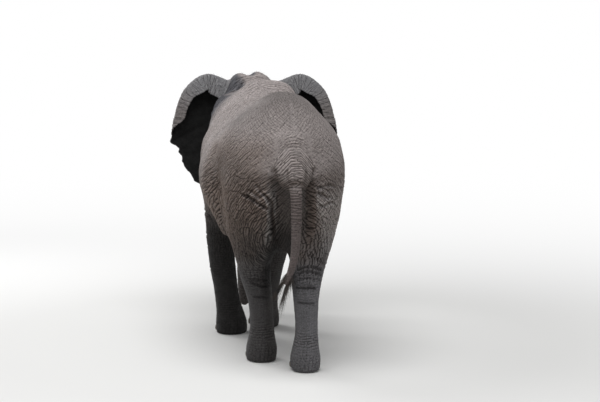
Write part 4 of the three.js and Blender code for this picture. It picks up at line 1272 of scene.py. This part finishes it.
def connected(count, a, b):
    """A number for each of count things, the same for all that the pairs a, b link."""
    mark = np.arange(count)
    while True:
        low = np.minimum(mark[a], mark[b])
        before = mark.copy()
        np.minimum.at(mark, mark[a], low)
        np.minimum.at(mark, mark[b], low)
        mark = mark[mark]
        mark = mark[mark]
        if (mark == before).all():
            return mark


def charts_of(mesh):
    """Splits the faces into charts that face about one way. Gives each face's way and its chart."""
    faces = len(mesh.polygons)
    face = np.repeat(np.arange(faces), values_of(mesh.polygons, "loop_total"))
    edge = values_of(mesh.loops, "edge_index")
    order = np.argsort(edge, kind="stable")
    same = np.flatnonzero(edge[order][1:] == edge[order][:-1])
    a, b = face[order][same], face[order][same + 1]
    smoothed = vectors_of(mesh.polygons, "normal")
    links = np.stack([a, b], 1)
    count = edge_counts(links, faces)
    for _ in range(FACING_ROUNDS):
        smoothed = (smoothed + neighbour_mean(smoothed, links, count)) / 2
    axis = np.abs(smoothed).argmax(1)
    way = axis * 2 + (smoothed[np.arange(faces), axis] < 0)
    for _ in range(MERGE_ROUNDS):
        within = way[a] == way[b]
        chart = connected(faces, a[within], b[within])
        size = np.bincount(chart, minlength=faces)
        for one, other in ((a, b), (b, a)):
            weak = (size[chart[one]] < SMALL_CHART) & (size[chart[other]] > size[chart[one]])
            weak &= way[one] != way[other]
            best = dict(zip(chart[one[weak]], way[other[weak]]))
            if best:
                table = np.full(faces, -1)
                table[list(best)] = list(best.values())
                way = np.where(table[chart] >= 0, table[chart], way)
                break
    within = way[a] == way[b]
    return way, connected(faces, a[within], b[within])


def packed(sizes):
    """Corners for boxes of the given sizes on shelves within a unit square, and the scale at which they
    fit."""
    order = np.argsort(-sizes[:, 1])

    def shelves(scale):
        """The corners at a scale, and how high the shelves reach."""
        corners, x, y, shelf = np.zeros((len(sizes), 2)), 0.0, 0.0, 0.0
        for i in order:
            w, h = sizes[i] * scale + CHART_GAP
            if x + w > 1:
                x, y, shelf = 0.0, y + shelf, 0.0
            corners[i] = x, y
            x, shelf = x + w, max(shelf, h)
        return corners, y + shelf

    low, high = 0.0, 1 / sizes.max()
    for _ in range(FIT_ROUNDS):
        scale = (low + high) / 2
        low, high = (scale, high) if shelves(scale)[1] <= 1 else (low, scale)
    return shelves(low)[0], low


def map_skin(mesh):
    """Unwraps the skin from the six sides, one island for each chart, and gives each vertex's place on the
    map."""
    way, chart = charts_of(mesh)
    _, chart = np.unique(chart, return_inverse=True)
    total, vertex = values_of(mesh.polygons, "loop_total"), values_of(mesh.loops, "vertex_index")
    co = places_of(mesh)[vertex]
    axis, loop_chart = np.repeat(way, total) // 2, np.repeat(chart, total)
    flat = np.stack([np.where(axis == 0, co[:, 1], co[:, 0]), np.where(axis == 2, co[:, 1], co[:, 2])], 1)
    count = chart.max() + 1
    low, high = np.full((count, 2), 1e9), np.full((count, 2), -1e9)
    np.minimum.at(low, loop_chart, flat)
    np.maximum.at(high, loop_chart, flat)
    corners, scale = packed(high - low)
    uv = corners[loop_chart] + (flat - low[loop_chart]) * scale + CHART_GAP / 2
    add_map(mesh, uv)
    of_vertex = np.zeros((len(mesh.vertices), 2))
    of_vertex[vertex] = uv
    return of_vertex


skin = skin_base()
hide_uv = map_skin(skin.data)
hide = dressed(skin)
mapped = np.random.default_rng(MAPPED_SEED).choice(len(hide.at), MAPPED_COUNT, replace=False)
mapped_tree = tree_of(at(hide.at[mapped]))


def hide_patches(places):
    """The map's places for roots near the skin."""
    return np.array([hide_uv[mapped[mapped_tree.find(place)[1]]] for place in places])


# ---------------------------------------------------------------- materials

class Nodes:
    """A short way to write the nodes of a material, or of the world."""

    def __init__(self, name, world=None):
        """A new material of this name, or the given world."""
        self.material = world or bpy.data.materials.new(name)
        self.material.use_nodes = True
        self.tree = self.material.node_tree
        self.surface = self.tree.nodes["Background" if world else "Principled BSDF"]

    def made(self, inputs):
        """The material, with the given inputs of its surface."""
        for name, value in inputs.items():
            self.set(self.surface.inputs[name], value)
        return self.material

    def add(self, kind, inputs=None, **settings):
        """A new node with its inputs, by name or number, and its settings."""
        node = self.tree.nodes.new(kind)
        for key, value in settings.items():
            setattr(node, key, value)
        for key, value in (inputs or {}).items():
            self.set(node.inputs[key], value)
        return node

    def set(self, socket, value):
        """Links a socket to another, or sets it to a number or colour."""
        if isinstance(value, bpy.types.NodeSocket):
            self.tree.links.new(value, socket)
        else:
            socket.default_value = value

    def attribute(self, name, output="Fac"):
        """What the mesh carries under this name."""
        return self.add("ShaderNodeAttribute", attribute_name=name).outputs[output]

    def place(self):
        """The place on the object, in metres."""
        return self.add("ShaderNodeTexCoord").outputs["Object"]

    def noise(self, scale, detail=3, roughness=0.6, place=None):
        """Smooth noise from 0 to 1."""
        inputs = {"Scale": scale, "Detail": detail, "Roughness": roughness}
        inputs["Vector"] = self.place() if place is None else place
        return self.add("ShaderNodeTexNoise", inputs).outputs["Fac"]

    def between(self, value, low, high, to_low=0.0, to_high=1.0):
        """A soft step from to_low to to_high while the value goes from low to high."""
        inputs = {0: value, 1: low, 2: high, 3: to_low, 4: to_high}
        return self.add("ShaderNodeMapRange", inputs, interpolation_type="SMOOTHSTEP").outputs[0]

    def math(self, operation, a, b=0.0):
        """A number made from one or two others."""
        return self.add("ShaderNodeMath", {0: a, 1: b}, operation=operation).outputs[0]

    def vector(self, operation, *values, output="Vector"):
        """A vector, or its Value, made from others."""
        inputs = dict(enumerate(values))
        return self.add("ShaderNodeVectorMath", inputs, operation=operation).outputs[output]

    def mix(self, share, a, b, blend="MIX"):
        """The colour a, with b over it where the share is 1."""
        node = self.add("ShaderNodeMix", data_type="RGBA", blend_type=blend)
        for socket, value in zip((node.inputs[0], node.inputs[6], node.inputs[7]), (share, a, b)):
            self.set(socket, value)
        return node.outputs[2]

    def tinted(self, share, colour, tint):
        """The colour, multiplied by a tint where the share is 1."""
        return self.mix(share, colour, self.mix(1.0, colour, tint, "MULTIPLY"))

    def bump(self, height, distance):
        """Normals tilted by a height, counted in the given distance."""
        inputs = {"Height": height, "Strength": 1.0, "Distance": distance}
        return self.add("ShaderNodeBump", inputs).outputs["Normal"]

    def seen(self):
        """1 for what the camera sees, straight, in gloss or through glass, and 0 for light on the object."""
        path = self.add("ShaderNodeLightPath").outputs
        indirect = self.math("MAXIMUM", path["Is Glossy Ray"], path["Is Transmission Ray"])
        return self.math("MAXIMUM", path["Is Camera Ray"], indirect)


def hide_material():
    """The hide's tones, with painted highlight on the plates and painted shade in the creases, and a grain of
    finer creases and cracks darkened as painted shade.
    """
    n = Nodes("hide")
    place, size = n.attribute("grain", "Vector"), n.attribute("grain_size", "Vector")
    cells = {"Vector": place, "Scale": 1.0, "Randomness": PLATE_SPREAD}
    sites = [
        n.add("ShaderNodeTexVoronoi", cells, voronoi_dimensions="2D", feature=nearest).outputs["Position"]
        for nearest in ("F1", "F2")
    ]
    across = n.vector("SUBTRACT", sites[1], sites[0])
    middle = n.vector("MULTIPLY", n.vector("ADD", *sites), (0.5, 0.5, 0.5))
    flat_size = n.vector("MULTIPLY", size, (1, 1, 0))
    slope = n.vector("LENGTH", n.vector("DIVIDE", across, flat_size), output="Value")
    towards = n.vector("DOT_PRODUCT", n.vector("SUBTRACT", middle, place), across, output="Value")
    edge = n.math("DIVIDE", towards, n.math("MAXIMUM", slope, 1e-6))
    strength = n.add("ShaderNodeSeparateXYZ", {0: size}).outputs["Z"]
    line = n.math("MULTIPLY", n.between(edge, 0.0, 0.0032, 1.0, 0.0), strength)
    speck = n.add("ShaderNodeTexVoronoi", {"Vector": n.place(), "Scale": 150}, feature="DISTANCE_TO_EDGE")
    crack = n.between(speck.outputs["Distance"], 0.0, 0.14, 1.0, 0.0)
    colour = n.attribute("tone", "Color")
    # painted highlight on the raised plates
    colour = n.tinted(n.attribute("raised"), colour, (1.85, 1.82, 1.78, 1))
    # painted shade in the grain's finer creases and in fine cracks
    colour = n.tinted(n.math("MULTIPLY", line, 0.55), colour, (0.42, 0.38, 0.36, 1))
    colour = n.tinted(n.math("MULTIPLY", crack, 0.18), colour, (0.55, 0.52, 0.5, 1))
    # painted shade in the creases
    colour = n.tinted(n.math("MULTIPLY", n.attribute("crease"), 0.95), colour, (0.16, 0.135, 0.125, 1))
    colour = n.mix(1.0, colour, n.between(n.noise(90, 2), 0.3, 0.7, 0.86, 1.14), "MULTIPLY")
    height = n.math("SUBTRACT", 0.0, n.math("ADD", line, n.math("MULTIPLY", crack, 0.25)))
    return n.made({
        "Base Color": colour,
        "Roughness": n.between(n.noise(14), 0.3, 0.7, 0.68, 0.9),
        "Normal": n.bump(height, 0.0022),
        "Specular IOR Level": 0.25,
    })


skin.data.materials.append(hide_material())
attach(skin, "root")
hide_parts(*FLESH)

# ---------------------------------------------------------------- eyes, tusks and toenails

TUSK_TIP = 0.035  # share of a tusk over which its tip rounds off
NAIL_HALVES = np.array([42, 24, 37]) * UNIT


def ellipsoid_piece(name, centre, axes, halves, squareness=2.0, sides=40, rows=24):
    """A closed rounded solid of the given half sizes along three axes, boxier with a higher squareness."""
    tilt = np.linspace(-math.pi / 2, math.pi / 2, rows + 2)[1:-1]
    turn = np.linspace(0, 2 * math.pi, sides, endpoint=False)
    tilt, turn = np.meshgrid(tilt, turn, indexing="ij")
    ways = np.stack([np.cos(tilt) * np.cos(turn), np.cos(tilt) * np.sin(turn), np.sin(tilt)], -1)
    ways /= (np.abs(ways) ** squareness).sum(-1, keepdims=True) ** (1 / squareness)
    return lofted(name, centre + (ways * halves) @ np.asarray(axes))


def finished(piece, material, slot, *replaced):
    """Gives a piece its material and body, and says which nodes it replaces. The slot is not used."""
    piece.data.materials.append(material)
    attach(piece, "root")
    if replaced:
        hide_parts(*replaced)


def eye_material():
    """A dark amber iris round a black pupil, in a ball that is brown round it, under clear gloss."""
    n = Nodes("eye")
    place = n.attribute("gaze", "Vector")
    gaze = n.vector("LENGTH", n.vector("MULTIPLY", place, (1, 1, 0)), output="Value")
    fibre = n.noise(14, 2, 0.5, place)
    iris = n.mix(n.between(fibre, 0.3, 0.7), (0.05, 0.022, 0.008, 1), (0.16, 0.075, 0.025, 1))
    iris = n.mix(n.between(gaze, 0.5, 0.62), iris, (0.02, 0.01, 0.006, 1))
    colour = n.mix(n.between(gaze, 0.2, 0.25), (0.003, 0.003, 0.003, 1), iris)
    colour = n.mix(n.between(gaze, 0.62, 0.78), colour, (0.2, 0.13, 0.09, 1))
    return n.made({"Base Color": colour, "Roughness": 0.08, "Coat Weight": 0.6})


def make_eyes():
    """Two balls, each with a cornea that swells a little."""
    material = eye_material()
    for name, side in SIDES.items():
        outward, forward, upward = eye_axes(side)
        axes = turned(np.array([forward, upward, outward])) * [1, -1, 1]
        radius = EYE_RADIUS * UNIT
        ball = ellipsoid_piece(f"eyeball_{name}", at(EYES[name]), axes, [radius] * 3)
        to = (places_of(ball.data) - at(EYES[name])) @ axes.T / radius
        add_attribute(ball.data, "gaze", to)
        swell = 0.06 * smooth(0.6, 1.0, to[:, 2])
        set_places(ball.data, places_of(ball.data) + np.outer(swell * radius, axes[2]))
        finished(ball, material, "eye", f"eye_{name}")


def ivory_material():
    """Old ivory: cream, darker and stained towards the root, with fine cracks and scratches along it."""
    n = Nodes("ivory")
    along = n.attribute("along")
    streak = n.noise(5, 4, 0.5, n.attribute("grain", "Vector"))
    colour = n.mix(n.between(streak, 0.35, 0.65), (0.62, 0.53, 0.39, 1), (0.46, 0.36, 0.235, 1))
    colour = n.mix(n.between(along, 0.3, 0.7, 0.75, 0.0), colour, (0.25, 0.17, 0.1, 1))
    colour = n.mix(n.between(n.noise(30), 0.5, 0.75, 0.0, 0.45), colour, (0.3, 0.22, 0.14, 1))
    roughness = n.between(streak, 0.3, 0.7, 0.3, 0.55)
    return n.made({"Base Color": colour, "Roughness": roughness, "Normal": n.bump(streak, 0.0009)})


def make_tusks():
    """Two curved tusks, slightly uneven and rounded off at the tip."""
    material = ivory_material()
    steps, sides = 160, 48
    for name, side in SIDES.items():
        line = [(side * x, y, z) for x, y, z in TUSK]
        tusk = tube(f"ivory_{name}", on_head(line), tusk_radius, steps, sides)
        t = np.repeat(np.linspace(0, 1, steps), sides)
        turn = np.tile(np.linspace(0, 2 * math.pi, sides, endpoint=False), steps)
        add_attribute(tusk.data, "along", t)
        add_attribute(tusk.data, "grain", np.stack([np.cos(turn) * 0.7, np.sin(turn) * 0.7, t * 0.9], 1))
        worn = 1 + 0.03 * noise(np.stack([np.cos(turn), np.sin(turn), t * 9], 1), 1.1, 501)
        co = landmarks(places_of(tusk.data))
        middle = np.repeat(co.reshape(steps, sides, 3).mean(1), sides, axis=0)
        tip = np.sqrt(np.clip((1 - t) / TUSK_TIP, 0, 1)) * 0.8 + 0.2
        set_places(tusk.data, at(middle + (co - middle) * (worn * tip)[:, None]))
        finished(tusk, material, "ivory", f"tusk_{name}")


def nail_material():
    """Grey-brown horn with patches of darker dirt."""
    n = Nodes("nail")
    grain = n.noise(3, 5, 0.5, n.attribute("grain", "Vector"))
    colour = n.mix(n.between(grain, 0.35, 0.65), (0.19, 0.17, 0.15, 1), (0.12, 0.106, 0.093, 1))
    colour = n.mix(n.between(n.noise(60), 0.5, 0.7, 0.0, 0.5), colour, (0.075, 0.066, 0.058, 1))
    roughness = n.between(grain, 0.3, 0.7, 0.5, 0.75)
    return n.made({"Base Color": colour, "Roughness": roughness, "Normal": n.bump(grain, 0.0015)})


def make_nails():
    """A rounded plate of horn in the place of each packed toenail, facing out from the foot."""
    material = nail_material()
    for number, (leg, stations) in enumerate(LEGS.items()):
        ankle = at([stations[-1][:3]])[0]
        end, hand = leg.split("_")
        for node in [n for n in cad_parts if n.startswith(f"{end}_nail_{hand}")]:
            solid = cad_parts[node]
            world = np.array(solid.matrix_world)
            co = places_of(solid.data) @ world[:3, :3].T + world[:3, 3]
            middle = co.mean(0)
            outward = unit((middle - ankle) * [1, 1, 0])
            reach = (co @ outward).max()
            centre = middle + outward * (reach - middle @ outward - NAIL_HALVES[1])
            centre[2] = (co[:, 2].max() + co[:, 2].min()) / 2
            axes = np.array([np.cross(outward, [0, 0, 1.0]), outward, [0, 0, 1.0]])
            nail = ellipsoid_piece(f"horn_{node}", centre, axes, NAIL_HALVES, 2.6, 32, 18)
            to = (places_of(nail.data) - centre) @ axes.T / NAIL_HALVES
            add_attribute(nail.data, "grain", to * [3.0, 1.0, 0.6] + number)
            finished(nail, material, "nail", node)


make_eyes()
make_tusks()
make_nails()

# ---------------------------------------------------------------- hair

TUFT_COUNT, LASH_COUNT = 420, 70
BRISTLE_COUNT = 3600
HAIR_SIDES, HAIR_SEED = 3, 7
MILLIMETRE = 0.001


def strands(name, roots, ways, lengths, widths, hang, patches, segments):
    """Hairs as thin three-sided spikes from roots along ways, bending down by a share of hang, each with a
    small patch of the map at its root's place."""
    sides = HAIR_SIDES
    t = np.linspace(0, 1, segments + 1)
    path = roots[:, None] + ways[:, None] * (lengths[:, None] * t)[:, :, None]
    path[:, :, 2] -= hang[:, None] * lengths[:, None] * t**2
    across = unit(np.cross(ways, [0.13, 0.2, 0.97]))
    over = np.cross(ways, across)
    turn = np.linspace(0, 2 * math.pi, sides, endpoint=False)
    ring = across[:, None] * np.cos(turn)[:, None] + over[:, None] * np.sin(turn)[:, None]
    width = widths[:, None] * (1 - 0.9 * t**1.5)
    places = path[:, :, None] + ring[:, None] * width[:, :, None, None]
    each = (segments + 1) * sides
    quads = np.array(grid_faces(segments + 1, sides))
    ends = np.array([[2, 1, 0], [each - 3, each - 2, each - 1]])
    shift = np.arange(len(roots))[:, None, None] * each
    faces = (quads + shift).reshape(-1, 4).tolist() + (ends + shift).reshape(-1, 3).tolist()
    hair = new_object(name, places.reshape(-1, 3), faces)
    corner = np.array([(i / (segments + 1), j / sides) for i in range(segments + 1) for j in range(sides)])
    where = (patches[:, None] + corner * PATCH).reshape(-1, 2)
    add_map(hair.data, where[values_of(hair.data.loops, "vertex_index")])
    return hair


def hair_sizes(random, count, length, width, hang):
    """Random lengths, widths in millimetres and shares of hanging, each between two bounds."""
    lengths = random.uniform(*length, count) * UNIT
    widths = random.uniform(*width, count) * MILLIMETRE
    return lengths, widths, random.uniform(*hang, count)


def hair_material():
    """Black-brown, wiry hair with a dull shine."""
    n = Nodes("hair")
    colour = n.mix(n.between(n.noise(9), 0.35, 0.65), (0.012, 0.01, 0.009, 1), (0.05, 0.038, 0.03, 1))
    return n.made({"Base Color": colour, "Roughness": n.between(n.noise(40), 0.3, 0.7, 0.4, 0.6)})


def make_tuft(random, material):
    """Wiry hairs in two rows, along the front and the back edge of the tail's tip."""
    count, places = TUFT_COUNT, 60
    tip = curve(TAIL, np.linspace(0.86, 1, places))
    which = random.integers(0, places, count)
    along = unit(np.gradient(tip, axis=0))[which]
    edge = np.where(random.random(count) < 0.5, 1, -1)
    around = edge * (math.pi / 2 + random.normal(0, 0.45, count))
    across = unit(np.cross(along, [0, 1.0, 0]))
    out = across * np.sin(around)[:, None] + np.array([0, 1.0, 0]) * np.cos(around)[:, None]
    share = (which / (places - 1))[:, None]
    roots = at(tip[which] + out * 20)
    lean = along * (0.9 + 0.5 * share) + out * (0.34 - 0.16 * share)
    ways = unit(lean + random.normal(0, 0.09, (count, 3)))
    lengths, widths, hang = hair_sizes(random, count, (110, 330), (0.9, 1.7), (0.1, 0.3))
    lengths = lengths * (0.55 + 0.45 * share[:, 0])
    tuft = strands("tuft", roots, ways * [1, -1, 1], lengths, widths, hang, hide_patches(roots), 8)
    finished(tuft, material, "hair", "tail_tuft")


def make_bristles(random, material):
    """Sparse bristles on the crown, brow, chin, trunk, spine and the ears' rims."""
    _, y, z = hide.straight.T
    crown = hide.head * smooth(2600, 2850, z) * smooth(0.1, 0.6, hide.normal[:, 2])
    chin = smooth(2750, 2900, y) * smooth(2080, 1980, z) * smooth(1650, 1750, z)
    chin = chin * (1 - hide.trunk) * (1 - hide.ear)
    spine = smooth(260, 60, np.abs(hide.at[:, 0]))
    top = smooth(0.75, 0.95, hide.normal[:, 2]) * (hide.barrel + hide.hips) * spine
    trunk = hide.trunk * smooth(0.9, 0.5, hide.trunk_t)
    rim = hide.ear * smooth(0.45, 0.0, hide.ear_u) * smooth(-20, 60, hide.ear_beyond) * (1 - hide.ear_back)
    weight = 0.5 * crown + 1.4 * chin + 0.3 * top + 0.25 * trunk + 0.12 * rim
    count = BRISTLE_COUNT
    which = random.choice(len(weight), count, p=weight / weight.sum())
    normal = hide.normal[which]
    back = np.array([0, -0.5, -0.15])
    lie = back - normal * (normal @ back)[:, None]
    ways = unit(normal * 0.8 + lie + random.normal(0, 0.2, (count, 3)))
    lengths, widths, hang = hair_sizes(random, count, (15, 38), (0.35, 0.7), (0, 0.25))
    lengths = lengths * (1 + 0.6 * (chin[which] > 0.3))
    roots = at(hide.at[which] - normal * 1.5)
    bristles = strands("bristles", roots, ways * [1, -1, 1], lengths, widths, hang, hide_uv[which], 3)
    finished(bristles, material, "hair")


def make_lashes(random, material):
    """Long lashes along the edge of each upper lid."""
    for name, side in SIDES.items():
        outward, forward, upward = eye_axes(side)
        count = LASH_COUNT
        a = random.uniform(-20, 19, count)
        b = 11.5 * (1 - (a / 24) ** 2) + random.normal(0, 0.8, count) - 0.18 * a
        h = np.sqrt(np.maximum((EYE_RADIUS + 7) ** 2 - (a * 0.8) ** 2 - b**2, 30)) - 1.5
        lid = np.outer(a, forward) + np.outer(b, upward) + np.outer(h, outward)
        roots = at(on_head(spun(EYES[name], -HEAD_YAW) + lid))
        ways = unit(outward + np.outer(a / 40, forward) + 0.15 * upward + random.normal(0, 0.12, (count, 3)))
        lengths, widths, hang = hair_sizes(random, count, (35, 70), (0.4, 0.7), (0.5, 0.9))
        ways = turned(ways) * [1, -1, 1]
        lashes = strands(f"lashes_{name}", roots, ways, lengths, widths, hang, hide_patches(roots), 6)
        finished(lashes, material, "hair")


random = np.random.default_rng(HAIR_SEED)
hair = hair_material()
make_tuft(random, hair)
make_bristles(random, hair)
make_lashes(random, hair)

# ---------------------------------------------------------------- camera, light and floor

LENS, SENSOR = 76.26, 36  # in millimetres
BEARING, PITCH = math.radians(12), math.radians(4.72)  # from straight behind towards the left, and down
DISTANCE, ASIDE, EYE_HEIGHT = 11.52, 0.0495, 2.511  # back and left from the right hind foot, and up
KEY = {"place": (1.0, 3.2, 8.5), "aim": (0, 0.5, 1.5), "size": 6, "power": 520}
FILL = {"place": (4.5, -7, 5), "aim": (0, -1, 1.5), "size": 5, "power": 330}
FLOOR_HALF = 60  # half the floor's side
FLOOR_COLOUR = (0.78, 0.78, 0.77, 1)
WHITE = (1, 1, 1, 1)
WORLD_LIGHT = 0.36


def placed(name, data, place, look):
    """A camera or lamp in the scene, at a place and looking one way."""
    obj = bpy.data.objects.new(name, data)
    bpy.context.scene.collection.objects.link(obj)
    obj.location = place
    obj.rotation_euler = look.to_track_quat("-Z", "Y").to_euler()
    return obj


def make_camera():
    """The photo's view: from behind and a little to the left, at the height of the back."""
    data = bpy.data.cameras.new("camera")
    data.sensor_width = SENSOR
    data.lens = LENS
    foot = (foot_low + foot_high) / 2
    back = Vector((math.sin(BEARING), math.cos(BEARING), 0))
    left = Vector((math.cos(BEARING), -math.sin(BEARING), 0))
    place = Vector((foot.x, foot.y, 0)) + back * DISTANCE + left * ASIDE
    place.z = EYE_HEIGHT
    level = math.cos(PITCH)
    look = Vector((-math.sin(BEARING) * level, -math.cos(BEARING) * level, -math.sin(PITCH)))
    bpy.context.scene.camera = placed("camera", data, place, look)


def make_lamp(name, place, aim, size, power):
    """A soft round lamp."""
    data = bpy.data.lights.new(name, "AREA")
    data.shape = "DISK"
    data.size = size
    data.energy = power
    placed(name, data, place, Vector(aim) - Vector(place))


def make_floor():
    """A pale floor that keeps the shadow, and further out fades into the white round it for the camera."""
    corners = [(x * FLOOR_HALF, y * FLOOR_HALF, 0) for x, y in ((-1, -1), (1, -1), (1, 1), (-1, 1))]
    floor = new_object("floor", corners, [[0, 1, 2, 3]])
    n = Nodes("floor")
    n.made({"Base Color": FLOOR_COLOUR, "Roughness": 0.9})
    away = n.math("DIVIDE", 1.0, n.math("MAXIMUM", n.vector("LENGTH", n.place(), output="Value"), 0.1))
    share = n.math("MULTIPLY", n.between(away, 0.03, 0.36, 1.0, 0.0), n.seen())
    white = n.add("ShaderNodeEmission", {"Color": WHITE, "Strength": 1.0}).outputs[0]
    shader = n.add("ShaderNodeMixShader", {0: share, 1: n.surface.outputs[0], 2: white})
    n.set(n.tree.nodes["Material Output"].inputs["Surface"], shader.outputs[0])
    floor.data.materials.append(n.material)


def make_world():
    """White where the camera sees it, and a plain pale light on the object."""
    world = bpy.data.worlds.new("world")
    bpy.context.scene.world = world
    n = Nodes("world", world)
    n.made({"Color": WHITE, "Strength": n.between(n.seen(), 0.0, 1.0, WORLD_LIGHT, 1.0)})


make_camera()
make_lamp("key", **KEY)
make_lamp("fill", **FILL)
make_floor()
make_world()
bpy.context.scene.view_settings.view_transform = "Standard"
